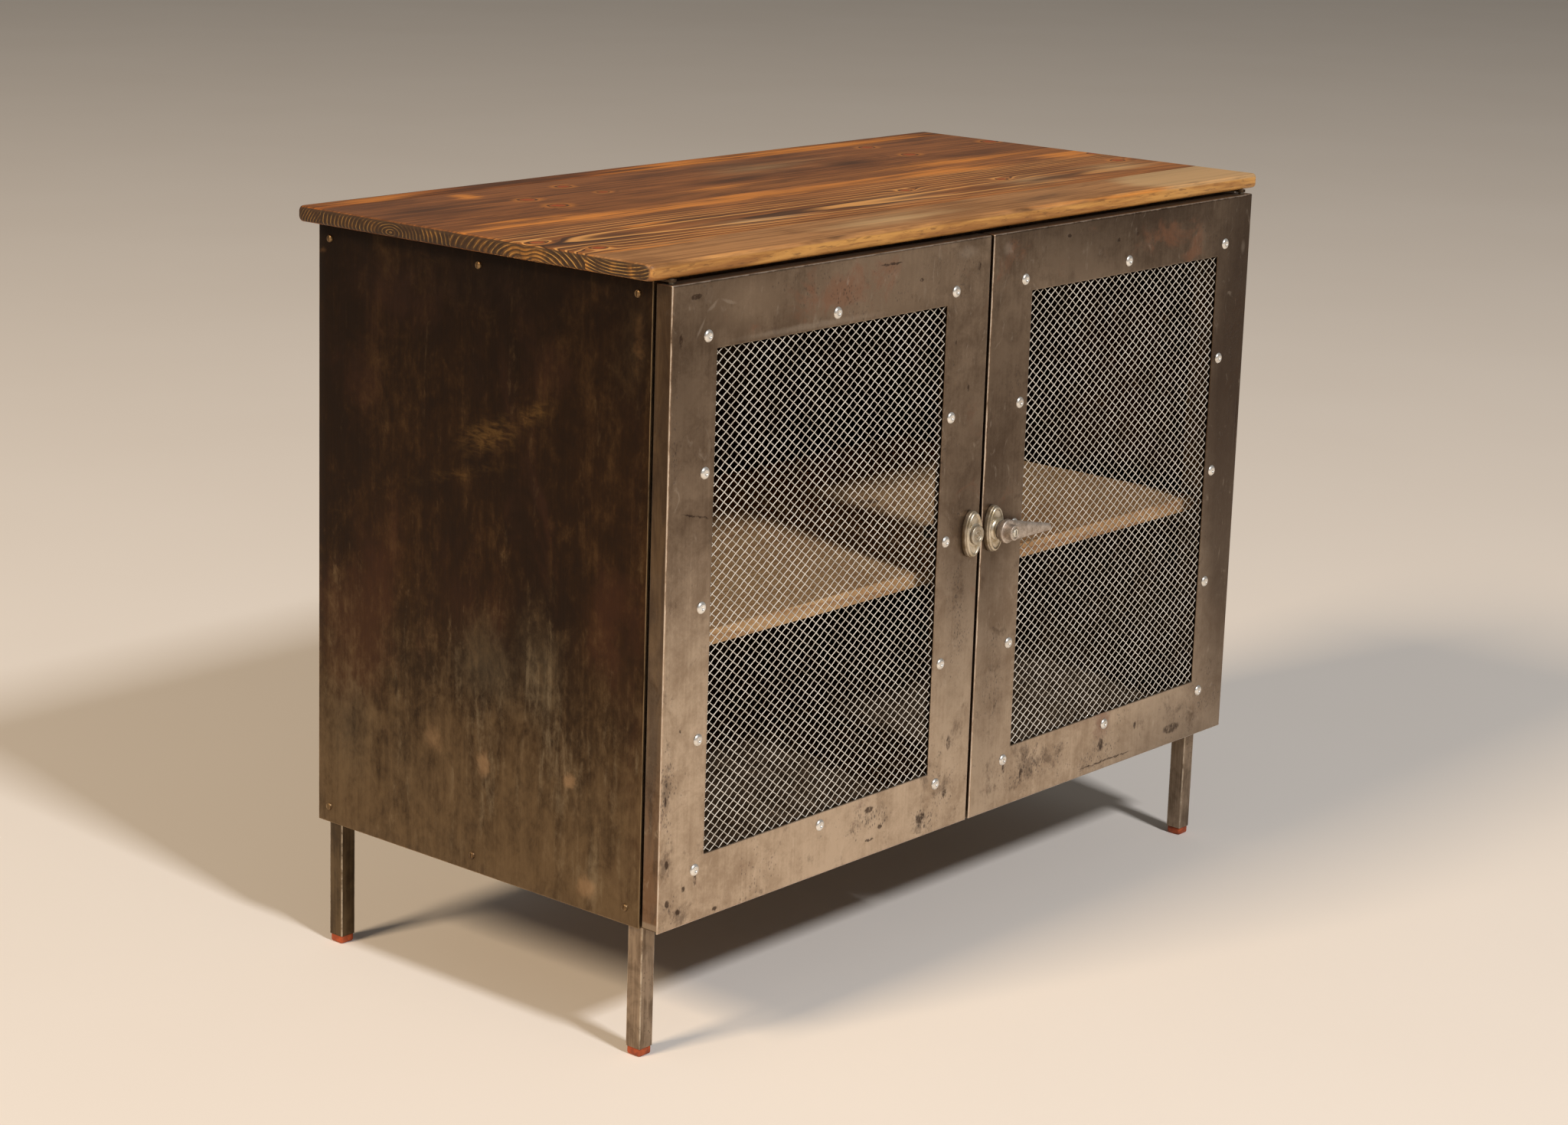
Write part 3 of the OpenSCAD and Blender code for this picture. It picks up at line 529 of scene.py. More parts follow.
@dataclass(frozen=True)
class PanelPatina:
    """Dark bronze-brown sheet with fine upright streaks, red-brown patches and pale drips, with a
    painted floor reflection towards its foot and painted shade towards its top.

    Places on the sheet are millimetres back from its front edge, or in from its side, and
    up from its foot.
    """

    name: str
    low: Array
    high: Array
    across: int = 1
    reds: Rows = ()
    greys: Rows = ()
    drips: Rows = ()
    spots: Rows = ()
    smears: Rows = ()
    dark: Rgb = rgb(38, 25, 12)
    bronze: Rgb = rgb(64, 44, 21)
    red: Rgb = rgb(76, 41, 15)
    olive: Rgb = rgb(118, 97, 70)
    grey: Rgb = rgb(76, 66, 51)
    pale: Rgb = rgb(144, 130, 106)
    edge: Rgb = rgb(146, 122, 90)

    def build(self) -> Material:
        """Makes the material."""
        s = Shader(self.name)
        face = Face((self.across, 2), (self.low[self.across], self.low[2]))
        side, up = face.distances(s)
        ragged = s.warped((9.0, 9.0, 5.0), 90.0 * MM, 1.0)
        torn = s.warped((70.0, 70.0, 9.0), 26.0 * MM, 4.0)
        clouds = s.noise((5.0, 5.0, 3.4), 6.0, 0.64, 0.7, 1.0)
        mottle = s.noise((30.0, 30.0, 20.0), 5.0, 0.68, 0.4, 4.0)
        streaks = s.noise((75.0, 75.0, 2.6), 4.0, 0.66, 0.3, 2.0)
        fine = s.noise((420.0, 420.0, 14.0), 2.0, 0.6, 0.0, 5.0)
        # The foot mask paints a reflection of the lit floor: it lightens the tone towards the foot
        # and feeds the olive weathering and the pale drips.
        foot = (up + (clouds - 0.5) * 0.35).rise(0.34, 0.0)
        crumbs = s.noise((120.0, 120.0, 70.0), 4.0, 0.7, 0.3, 12.0)
        tone = (clouds * 0.4 + mottle * 0.3 + streaks * 0.06 + crumbs * 0.16 + fine * 0.08
                + foot * 0.1)
        s.colour = s.mix(tone.rise(0.4, 0.68), self.dark, self.bronze)
        reds = (s.noise((9.0, 9.0, 5.0), 5.0, 0.66, 0.6, 8.0)
                + face.strongest(s, self.reds, ragged) * 0.3).rise(0.52, 0.78)
        s.paint(reds * 0.4, self.red)
        greys = (face.strongest(s, self.greys, ragged) + (mottle - 0.5) * 1.2
                 + (crumbs - 0.5) * 0.8).rise(0.1, 0.85)
        s.paint(greys * 0.7, self.grey)
        # Olive weathering, partly real and partly painted floor reflection through the foot mask.
        worn = (foot * 0.75 + (streaks - 0.5) * 0.9 + (mottle - 0.5) * 1.3 + (crumbs - 0.5) * 0.9
                + (clouds - 0.5) * 0.8).rise(-0.05, 1.15)
        s.paint(worn * 0.8, self.olive)
        drips = face.strongest(s, self.drips, torn)
        runs = s.noise((64.0, 64.0, 8.0), 5.0, 0.66, 0.5, 6.0)
        drips = (runs + (crumbs - 0.5) * 0.5 + drips * 0.2 - 0.06 + foot * 0.05).rise(0.54, 0.9)
        s.paint(drips * 0.42, self.pale)
        spots = (face.strongest(s, self.spots, s.warped(60.0, 16.0 * MM, 9.0))
                 + (mottle - 0.5) * 0.9).rise(0.25, 0.75)
        s.paint(spots * 0.4, rgb(176, 142, 106))
        strokes = s.noise((60.0, 60.0, 190.0), 4.0, 0.6, 0.5, 9.0, (0.35, 0.0, 0.0))
        smears = face.strongest(s, self.smears, torn) * strokes.rise(0.22, 0.74)
        s.paint(smears.rise(0.0, 0.9) * 0.55, rgb(146, 120, 76))
        # Painted shade: the sheet darkens upwards, with a band of painted shadow under the top's
        # overhang.
        head = up.rise(0.3, 0.62) * (1.1 - mottle).clamp()
        s.paint(head * 0.6 + up.rise(0.56, 0.66) * 0.25, rgb(22, 12, 4))
        # Painted shade: above about 0.3 m the sheet is multiplied darker and warmer, the
        # counterpart of the painted floor reflection lower down.
        s.paint(up.rise(0.2, 0.34), rgb(229, 210, 184), "MULTIPLY")
        rim = self._edge(side, up)
        chips = s.noise((60.0, 60.0, 30.0), 4.0, 0.66, 0.0, 5.0)
        s.paint((rim + (chips - 0.5) * 0.9).rise(0.6, 1.0) * 0.7, self.edge)
        rough = 0.34 + mottle * 0.2 + crumbs * 0.1 + foot * 0.04 + drips * 0.1
        height = mottle * 0.4 + streaks * 0.2 + fine * 0.3
        return s.surface(Metallic=0.7 - reds * 0.2 - drips * 0.15,
                         Specular_IOR_Level=0.25, Roughness=rough,
                         Normal=s.bump(height, 0.24 * MM))

    def _edge(self, side: Value, up: Value) -> Value:
        """Nearness to the sheet's outline: 1 on it, 0 from 2.6 mm inside."""
        wide, tall = [float(self.high[k] - self.low[k]) for k in (self.across, 2)]
        inside = side.least(wide - side).least(up.least(tall - up))
        return inside.rise(2.6 * MM, 0.0)


@dataclass(frozen=True)
class BareSteel:
    """Plain steel stock: brushed along one axis, mottled, with a second tone."""

    name: str
    base: Rgb
    second: Rgb
    brush: tuple[float, float, float] = (180.0, 180.0, 14.0)
    metallic: float = 0.8
    rough: float = 0.42
    depth: float = 0.12 * MM

    def build(self) -> Material:
        """Makes the material."""
        s = Shader(self.name)
        mottle = s.noise(38.0, 4.0, 0.62, 0.5, 2.0)
        lines = s.noise(self.brush, 3.0, 0.6, 0.2, 5.0)
        spots = s.cells(230.0, 3.0).rise(0.3, 0.14) * s.noise(20.0, 3.0).rise(0.5, 0.7)
        s.colour = s.mix((mottle * 0.6 + lines * 0.4).rise(0.34, 0.66), self.second, self.base)
        s.paint(spots * 0.7, rgb(52, 36, 24))
        return s.surface(Metallic=self.metallic - spots * 0.4,
                         Roughness=self.rough + mottle * 0.16 + spots * 0.2,
                         Normal=s.bump(mottle * 0.6 + lines * 0.4, self.depth))


@dataclass(frozen=True)
class LegSteel:
    """Ground square tube: grey-brown, mottled, with pale rubbed corners."""

    name: str
    middle: tuple[float, float]
    half: float
    base: Rgb
    second: Rgb
    pale: Rgb = rgb(224, 208, 184)

    def build(self) -> Material:
        """Makes the material."""
        s = Shader(self.name)
        x, y, _ = s.axes()
        mottle = s.noise((40.0, 40.0, 26.0), 5.0, 0.62, 0.5, 2.0)
        lines = s.noise((300.0, 300.0, 12.0), 3.0, 0.6, 0.2, 5.0)
        s.colour = s.mix((mottle * 0.65 + lines * 0.35).rise(0.36, 0.62), self.second, self.base)
        stain = s.noise(14.0, 4.0, 0.6, 0.6, 8.0).rise(0.55, 0.72)
        s.paint(stain * 0.5, rgb(84, 62, 42))
        out_x = abs(abs(x) - self.middle[0])
        out_y = abs(y - self.middle[1])
        corner = out_x.least(out_y).rise(self.half - 1.9 * MM, self.half - 0.7 * MM)
        chips = s.noise(80.0, 3.0, 0.6, 0.0, 4.0).rise(0.3, 0.6)
        s.paint(corner * chips * 0.6, self.pale)
        spots = s.cells(260.0, 3.0).rise(0.3, 0.14) * s.noise(26.0, 3.0).rise(0.5, 0.66)
        s.paint(spots * 0.6, rgb(48, 34, 24))
        return s.surface(Metallic=0.8 - stain * 0.3,
                         Roughness=0.42 + mottle * 0.16,
                         Normal=s.bump(mottle * 0.6 + lines * 0.4, 0.14 * MM))


@dataclass(frozen=True)
class Pine:
    """Flat-sawn pine: growth rings round a pith line that runs along the plank.

    The pith lies at a place in millimetres, back from the board's front edge and up from
    its top face, and leans backwards and upwards along X. A knot is a row of its place
    along X, its distance back from the front edge and its radius, in millimetres.
    """

    name: str
    front: float
    top: float
    pith: tuple[float, float]
    lean: tuple[float, float] = (0.0, 0.0)
    early: Rgb = rgb(196, 156, 108)
    late: Rgb = rgb(136, 90, 52)
    stain: Rgb = rgb(200, 176, 150)
    ring: float = 5.2 * MM
    flat: float = 1.0
    knots: Rows = ()
    seed: float = 0.0
    coat: float = 0.25
    rough: float = 0.42

    def radius(self, s: Shader, x: Value, back: Value, over: Value) -> Value:
        """Ring number of a point, counted in rings from the pith.

        It is the distance from the pith line, with the sideways part shortened to make
        the rings wide ovals, bent by slow noise along the grain and pushed outwards
        round every knot by a bell curve.

        Args:
            s: The tree.
            x: The point's X.
            back: Distance back from the board's front edge.
            over: Height over its top face.

        Returns:
            The ring number.
        """
        wander = s.noise((1.7, 6.0, 6.0), 3.0, 0.5, 0.0, self.seed)
        flutter = s.noise((8.0, 70.0, 70.0), 2.0, 0.5, 0.0, self.seed + 3.0)
        off_y = (back - self.pith[0] * MM - x * self.lean[0] + (wander - 0.5) * 0.03) * self.flat
        off_z = over - self.pith[1] * MM - x * self.lean[1]
        radius = (off_y * off_y + off_z * off_z).root() + (flutter - 0.5) * 0.35 * self.ring
        for knot_x, knot_back, size in self.knots:
            away_x = (x - knot_x * MM) / (size * 3.4 * MM)
            away_y = (back - knot_back * MM) / (size * 1.6 * MM)
            bell = (away_x * away_x + away_y * away_y + 1.0) ** -2.0
            radius = radius + bell * (size * 2.2 * self.flat * MM)
        return radius / self.ring

    def knot_masks(self, s: Shader, x: Value, back: Value) -> tuple[Value, Value, Value]:
        """Hearts of the knots, the dark rings round them and the pale flames beside them.

        Args:
            s: The tree.
            x: The point's X.
            back: Distance back from the board's front edge.

        Returns:
            The three masks.
        """
        heart, bark, flame = x * 0.0, x * 0.0, x * 0.0
        ragged = s.noise(120.0, 3.0, 0.6, 0.0, self.seed + 7.0) - 0.5
        for knot_x, knot_back, size in self.knots:
            away_x = (x - knot_x * MM) / (size * 1.3 * MM)
            away_y = (back - knot_back * MM) / (size * MM)
            away = (away_x * away_x + away_y * away_y).root() + ragged * 0.7
            heart = heart.most(away.rise(0.95, 0.55))
            bark = bark.most(abs(away - 0.95).rise(0.28, 0.05))
            flame = flame.most(away.rise(2.2, 1.1))
        return heart, bark, flame

    def build(self) -> Material:
        """Makes the material."""
        s = Shader(self.name)
        x, y, z = s.axes()
        back, over = y - self.front, z - self.top
        turn = self.radius(s, x, back, over).fraction()
        late = turn ** 2.6 * turn.rise(1.0, 0.93)
        heart, bark, _ = self.knot_masks(s, x, back)
        fibres = s.noise((7.0, 520.0, 520.0), 3.0, 0.6, 0.0, self.seed + 1.0)
        s.colour = s.mix(late * 0.7, self.early, self.late)
        s.paint(fibres.rise(0.45, 0.75) * 0.3, self.late)
        broad = s.noise((2.6, 6.0, 6.0), 4.0, 0.55, 0.6, self.seed + 5.0)
        s.paint(broad.rise(0.42, 0.66) * 0.5, self.stain, "MULTIPLY")
        s.paint(heart.most(bark) * 0.7, rgb(74, 44, 24))
        height = 0.5 - late * 0.3 - fibres * 0.25 - heart * 0.3
        return s.surface(Metallic=0.0,
                         Roughness=(self.rough + fibres * 0.14 + late * 0.06).clamp(),
                         Coat_Weight=self.coat, Coat_Roughness=0.3,
                         Normal=s.bump(height, 0.25 * MM))


@dataclass(frozen=True, kw_only=True)
class TopPine(Pine):
    """The top's scorched and oiled pine, with rubbed edges and contrasted end grain.

    Places on the top are millimetres from its middle along X and back from its front edge.
    """

    half: float
    depth: float
    golden: Rows = ()
    scorched: Rows = ()
    lined: Rows = ()
    ashen: Rows = ()
    ground: Rgb = rgb(112, 68, 32)
    brown: Rgb = rgb(160, 100, 50)
    gold: Rgb = rgb(222, 140, 56)
    char: Rgb = rgb(58, 36, 20)
    line: Rgb = rgb(226, 164, 92)
    ash: Rgb = rgb(196, 164, 118)
    amber: Rgb = rgb(176, 118, 48)

    def build(self) -> Material:
        """Makes the material."""
        s = Shader(self.name)
        x, y, z = s.axes()
        back, over = y - self.front, z - self.top
        face = Face((0, 1), (0.0, self.front))
        wavy = s.warped((6.0, 26.0, 26.0), 40.0 * MM, self.seed)
        rings = self.radius(s, x, back, over)
        turn = rings.fraction()
        heart, bark, flame = self.knot_masks(s, x, back)
        fibres = s.noise((6.0, 430.0, 430.0), 4.0, 0.66, 0.0, self.seed + 1.0)
        bands = s.noise((3.0, 62.0, 62.0), 5.0, 0.66, 0.3, self.seed + 2.0)
        clouds = s.noise((5.0, 13.0, 13.0), 5.0, 0.62, 0.5, self.seed + 5.0)
        dark = face.strongest(s, self.scorched, wavy) + flame * -0.2
        gold = face.strongest(s, self.golden, wavy)
        streaks = s.noise((4.0, 170.0, 170.0), 4.0, 0.7, 0.1, self.seed + 9.0)
        tone = clouds * 0.28 + bands * 0.24 + streaks * 0.28 + fibres * 0.2
        s.colour = s.mix(tone.rise(0.44, 0.56), self.ground, self.brown)
        s.paint((clouds * 0.5 + bands * 0.5 + dark * 0.3).rise(0.55, 0.78) * 0.75, self.char)
        glow = (gold * 0.9 + bands - 0.5 + (streaks - 0.5) * 1.2).rise(0.15, 0.75)
        s.paint(glow.most(flame * 0.45) * 0.75, self.gold)
        pale = (face.strongest(s, self.ashen, wavy) + (bands - 0.5)).rise(0.1, 0.8)
        s.paint(pale * 0.66, self.ash)
        self._ring_lines(s, turn, face.strongest(s, self.lined, wavy), bands)
        s.paint(bark * 0.85, self.char)
        s.paint(heart * 0.85, rgb(150, 66, 26))
        self._edges(s, back, over, fibres)
        end = abs(x).rise(self.half - 2.4 * MM, self.half - 1.2 * MM)
        s.paint(end * 0.95, self._end_grain(s, rings, back, over))
        height = 0.5 - fibres * 0.3 - bands * 0.15 - heart * 0.2 + turn * 0.1
        return s.surface(Metallic=0.0,
                         Roughness=(self.rough + fibres * 0.2 + end * 0.2).clamp(),
                         Coat_Weight=0.08, Coat_Roughness=0.3, Specular_IOR_Level=0.3,
                         Normal=s.bump(height, 0.3 * MM))

    def _ring_lines(self, s: Shader, turn: Value, where: Value, bands: Value) -> None:
        """Paints thin pale lines between scorched grooves, one pair in each ring.

        Args:
            s: The tree.
            turn: Share of the ring that a point lies in.
            where: Where the lines are strong.
            bands: Streaks that break them up.
        """
        pale = turn.rise(0.42, 0.62) * turn.rise(0.8, 0.66)
        groove = turn.rise(0.68, 0.84) * turn.rise(1.0, 0.93)
        share = (where * 1.3 + bands - 0.32).clamp()
        s.paint(share * groove * 0.8, self.char)
        s.paint(share * where.rise(0.05, 0.5) * pale * 0.75, self.line)

    def _edges(self, s: Shader, back: Value, over: Value, fibres: Value) -> None:
        """Paints a golden front face with short dark pores, and a dark line on its arris.

        Args:
            s: The tree.
            back: Distance back from the board's front edge.
            over: Height over its top face.
            fibres: Fine grain.
        """
        front = back.rise(4.2 * MM, 1.6 * MM)
        under = over.rise(-2.4 * MM, -5.0 * MM)
        warm = s.noise((7.0, 60.0, 90.0), 4.0, 0.64, 0.3, 2.0)
        face = s.mix(warm.rise(0.36, 0.62), rgb(150, 98, 46), rgb(206, 150, 78))
        pores = s.noise((45.0, 500.0, 330.0), 3.0, 0.7, 0.0, 14.0).rise(0.54, 0.68)
        face = s.mix(pores * 0.6, face, rgb(92, 58, 30))
        s.paint(front * under * 0.9, face)
        arris = back.rise(9.0 * MM, 4.0 * MM) * (1.0 - front * under)
        worn = s.noise((6.0, 40.0, 40.0), 4.0, 0.66, 0.2, 19.0)
        s.paint(arris * worn.rise(0.5, 0.66) * 0.7, self.char)
        s.paint(arris * worn.rise(0.5, 0.34) * fibres.rise(0.3, 0.6) * 0.6, self.line)

    def _end_grain(self, s: Shader, rings: Value, back: Value, over: Value) -> Socket:
        """Pale ring lines on scorched wood, with amber zones and a dark upper rim.

        Args:
            s: The tree.
            rings: Ring number.
            back: Distance back from the board's front edge.
            over: Height over its top face.

        Returns:
            The end's colour.
        """
        turn = rings.fraction()
        amber = s.noise((9.0, 26.0, 16.0), 4.0, 0.6, 0.4, self.seed + 21.0)
        pores = s.noise(700.0, 2.0, 0.6, 0.0, 3.0)
        ground = s.mix(amber.rise(0.48, 0.66), rgb(60, 40, 20), self.amber)
        rear = back.rise(0.05, 0.26)
        ground = s.mix(rear * 0.75, ground, rgb(48, 32, 15))
        groove = turn.rise(0.45, 0.72) * turn.rise(1.0, 0.9)
        ground = s.mix(groove * 0.85, ground, rgb(36, 23, 11))
        line = turn.rise(0.1, 0.22) * turn.rise(0.38, 0.26)
        fade = s.noise((9.0, 60.0, 60.0), 3.0, 0.6, 0.0, self.seed + 31.0).rise(0.32, 0.6)
        ground = s.mix(line * fade * (0.85 - rear * 0.5), ground, rgb(222, 172, 92))
        ground = s.mix(pores.rise(0.5, 0.7) * 0.35, ground, rgb(48, 32, 16))
        rim = over.rise(-4.6 * MM, -2.2 * MM)
        corner = back.rise(self.depth - 16.0 * MM, self.depth - 4.0 * MM)
        return s.mix(rim.most(corner) * 0.8, ground, rgb(52, 36, 20))


@dataclass(frozen=True)
class Wire:
    """Galvanised wire: bright, slightly warm, with dull grey spells."""

    name: str
    bright: Rgb
    dull: Rgb
    rough: float = 0.42

    def build(self) -> Material:
        """Makes the material."""
        s = Shader(self.name)
        spells = s.noise(46.0, 3.0, 0.6, 0.0, 1.0)
        s.colour = s.mix(spells.rise(0.35, 0.7), self.bright, self.dull)
        return s.surface(Metallic=0.3, Roughness=self.rough + spells * 0.14,
                         Normal=s.bump(s.noise(900.0, 2.0), 0.03 * MM))


@dataclass(frozen=True)
class CastMetal:
    """Worn cast or pressed bright metal with brown specks, darker brown from a given depth
    backwards.
    """

    name: str
    bright: Rgb
    warm: Rgb
    dirt: Rgb
    wall: float
    rough: float = 0.3
    speckle: float = 0.35

    def build(self) -> Material:
        """Makes the material."""
        s = Shader(self.name)
        _, y, _ = s.axes()
        clouds = s.noise(120.0, 4.0, 0.6, 0.5, 1.0)
        fine = s.noise(620.0, 3.0, 0.6, 0.0, 4.0)
        s.colour = s.mix(clouds.rise(0.35, 0.7), self.bright, self.warm)
        specks = fine.rise(0.5, 0.72) * clouds.rise(0.3, 0.65)
        s.paint(specks * self.speckle, self.dirt)
        # Darker brown from the depth wall backwards, towards the door.
        deep = y.rise(self.wall - 1.4 * MM, self.wall + 1.2 * MM)
        s.paint(deep * (0.35 + clouds * 0.6).clamp(), self.dirt)
        return s.surface(Metallic=0.8 - deep * 0.1,
                         Roughness=self.rough + clouds * 0.16 + specks * 0.12 + deep * 0.12,
                         Normal=s.bump(clouds * 0.5 + fine * 0.5, 0.12 * MM))


@dataclass(frozen=True)
class Matte:
    """Dull moulded plastic or rubber with fine grain and scuffs."""

    name: str
    base: Rgb
    second: Rgb
    rough: float = 0.62

    def build(self) -> Material:
        """Makes the material."""
        s = Shader(self.name)
        clouds = s.noise(90.0, 4.0, 0.6, 0.3, 1.0)
        grain = s.noise(900.0, 2.0)
        s.colour = s.mix(clouds.rise(0.34, 0.68), self.base, self.second)
        return s.surface(Metallic=0.0, Roughness=self.rough + clouds * 0.12,
                         Normal=s.bump(grain * 0.4 + clouds * 0.6, 0.1 * MM))


@dataclass(frozen=True)
class PaleFloor:
    """Plain pale studio floor."""

    name: str = "pale_floor"
    base: Rgb = rgb(239, 231, 221)
    second: Rgb = rgb(234, 225, 214)

    def build(self) -> Material:
        """Makes the material."""
        s = Shader(self.name)
        clouds = s.noise(1.3, 3.0, 0.5)
        s.colour = s.mix(clouds, self.base, self.second)
        return s.surface(Roughness=0.75)


class MeshMaker:
    """Gathers grids and caps and turns them into one welded, smooth-shaded piece."""

    def __init__(self) -> None:
        """Starts with nothing."""
        self.points: list[Array] = []
        self.faces: list[list[int]] = []
        self.count = 0

    def grid(self, points: Array, wrap_u: bool = False, wrap_v: bool = False) -> None:
        """Adds a surface of quads over a grid of points.

        Args:
            points: Array of rows, columns and three coordinates.
            wrap_u: Whether the last row joins the first.
            wrap_v: Whether the last column joins the first.
        """
        rows, columns = points.shape[:2]
        index = np.arange(rows * columns).reshape(rows, columns) + self.count
        if wrap_u:
            index = np.vstack([index, index[:1]])
        if wrap_v:
            index = np.hstack([index, index[:, :1]])
        quads = np.stack([index[:-1, :-1], index[:-1, 1:], index[1:, 1:], index[1:, :-1]], -1)
        self.points.append(points.reshape(-1, 3))
        self.faces.extend(quads.reshape(-1, 4).tolist())
        self.count += rows * columns

    def cap(self, ring: Array) -> None:
        """Closes a flat ring of points with one face."""
        self.points.append(ring)
        self.faces.append(list(range(self.count, self.count + len(ring))))
        self.count += len(ring)

    def tube(self, rings: Array) -> None:
        """Joins rings of points into a tube and closes both ends."""
        self.grid(rings, wrap_v=True)
        self.cap(rings[0])
        self.cap(rings[-1])

    def turn(self, shape: Sequence[tuple[float, float]], centre: Sequence[float],
             around: int = 48) -> None:
        """Turns a profile about an axis along Y.

        Args:
            shape: Radius and Y of each profile point.
            centre: A point on the axis; its Y isn't used.
            around: Points round the axis.
        """
        radius, level = np.array(shape).T
        self.grid(ellipses(centre, radius, radius, level, around), wrap_v=True)

    def make(self, name: str, material: Material, smooth: float = 38.0) -> Piece:
        """Welds the points, turns the faces outwards and links the piece.

        Args:
            name: The piece's name.
            material: Its finish.
            smooth: Edges sharper than this many degrees stay sharp.

        Returns:
            The new piece.
        """
        mesh = bpy.data.meshes.new(name)
        mesh.from_pydata(np.vstack(self.points), [], self.faces)
        work = bmesh.new()
        work.from_mesh(mesh)
        bmesh.ops.remove_doubles(work, verts=work.verts, dist=WELD)
        bmesh.ops.recalc_face_normals(work, faces=work.faces)
        work.to_mesh(mesh)
        work.free()
        return link_piece(name, mesh, material, smooth)


def link_piece(name: str, mesh: bpy.types.Mesh, material: Material, smooth: float) -> Piece:
    """Puts a mesh into the scene with its finish.

    Args:
        name: The piece's name.
        mesh: Its mesh.
        material: Its finish.
        smooth: Edges sharper than this many degrees stay sharp.

    Returns:
        The piece.
    """
    mesh.materials.clear()
    mesh.materials.append(material)
    mesh.polygons.foreach_set("use_smooth", np.ones(len(mesh.polygons), dtype=bool))
    mesh.set_sharp_from_angle(angle=math.radians(smooth))
    piece = bpy.data.objects.new(name, mesh)
    bpy.context.scene.collection.objects.link(piece)
    return piece


def dress(piece: Piece, *nodes: str, stands_for: bool = True) -> Piece:
    """Lets a piece ride with its nodes' body and, where it replaces them, hides them.

    Args:
        piece: The piece.
        nodes: The CAD nodes that it stands for.
        stands_for: Whether it replaces them, which only one piece of a node does.

    Returns:
        The same piece.
    """
    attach(piece, BODY_OF[nodes[0]])
    if stands_for:
        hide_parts(*nodes)
    LOG.info("%s rides on %s, %d faces", piece.name, BODY_OF[nodes[0]],
             len(piece.data.polygons))
    return piece


def soften(material: Material, radius: float, *nodes: str, segments: int = 2) -> None:
    """Makes pieces from nodes' own solids with their sharp edges rounded.

    A copy's loose triangles are welded, flat faces are joined, and a bevel rounds what
    is left, so holes and slots stay where the node has them.

    Args:
        material: The finish.
        radius: Radius of the edges.
        nodes: The CAD nodes, one piece each.
        segments: Steps of each rounding.
    """
    for node in nodes:
        mesh = frame["nodes"][node].data.copy()
        mesh.name = f"{node}_body"
        work = bmesh.new()
        work.from_mesh(mesh)
        bmesh.ops.remove_doubles(work, verts=work.verts, dist=WELD)
        bmesh.ops.dissolve_limit(work, angle_limit=math.radians(0.8), verts=work.verts,
                                 edges=work.edges)
        work.to_mesh(mesh)
        work.free()
        piece = link_piece(f"{node}_body", mesh, material, smooth=30.0)
        bevel = piece.modifiers.new("rounded_edges", "BEVEL")
        bevel.width = radius
        bevel.segments = segments
        bevel.limit_method = "ANGLE"
        bevel.angle_limit = math.radians(40.0)
        bevel.use_clamp_overlap = True
        dress(piece, node)


def rounded_rect(low: Sequence[float], high: Sequence[float], radius: float,
                 steps: int, stations: Sequence[Sequence[float]] = ((), (), (), ())) -> Array:
    """Walks round a rectangle with rounded corners.

    Each corner is a quarter circle of the radius. Between two corners lie extra points
    at the given places along that side: bottom, far, top and near side in turn.

    Args:
        low: Lowest corner.
        high: Highest corner.
        radius: Corner radius.
        steps: Steps of each quarter circle.
        stations: Extra places along the four sides, each in the order of the walk.

    Returns:
        The points, counter-clockwise from the first corner.
    """
    centres = [(low[0] + radius, low[1] + radius), (high[0] - radius, low[1] + radius),
               (high[0] - radius, high[1] - radius), (low[0] + radius, high[1] - radius)]
    walk = []
    for k, centre in enumerate(centres):
        angle = np.radians(180.0 + 90.0 * k + 90.0 * np.arange(steps + 1) / steps)
        walk.append(np.stack([centre[0] + radius * np.cos(angle),
                              centre[1] + radius * np.sin(angle)], -1))
        along = np.array(stations[k], dtype=float)
        if len(along):
            fixed = np.full(len(along), (low[1], high[0], high[1], low[0])[k])
            pair = (along, fixed) if k in (0, 2) else (fixed, along)
            walk.append(np.stack(pair, -1))
    return np.vstack(walk)


def ellipses(centre: Sequence[float], half_x: Array, half_z: Array, level: Array,
             around: int) -> Array:
    """Walks round ellipses that lie across one axis along Y.

    Args:
        centre: A point on the axis; its Y isn't used.
        half_x: Each ellipse's half axis along X.
        half_z: Each ellipse's half axis along Z.
        level: Each ellipse's Y.
        around: Points round each.

    Returns:
        Grid of ellipses by points.
    """
    angle = np.linspace(0.0, 2.0 * np.pi, around, endpoint=False)
    points = np.empty((len(level), around, 3))
    points[..., 0] = centre[0] + half_x[:, None] * np.cos(angle)
    points[..., 2] = centre[2] + half_z[:, None] * np.sin(angle)
    points[..., 1] = level[:, None]
    return points


def profile(level: float, *rows: Sequence[float]) -> list[tuple[float, float]]:
    """Profile points from radii and distances from a level, both in millimetres."""
    return [(radius * MM, level + place * MM) for radius, place in rows]


def arc(centre: tuple[float, float], radius: float, start: float, end: float,
        steps: int) -> list[tuple[float, float]]:
    """Points of an arc in a profile.

    Args:
        centre: The arc's centre.
        radius: Its radius.
        start: First angle in degrees.
        end: Last angle in degrees.
        steps: Number of steps.

    Returns:
        The points.
    """
    angle = np.radians(np.linspace(start, end, steps + 1))
    return list(zip(centre[0] + radius * np.cos(angle), centre[1] + radius * np.sin(angle)))


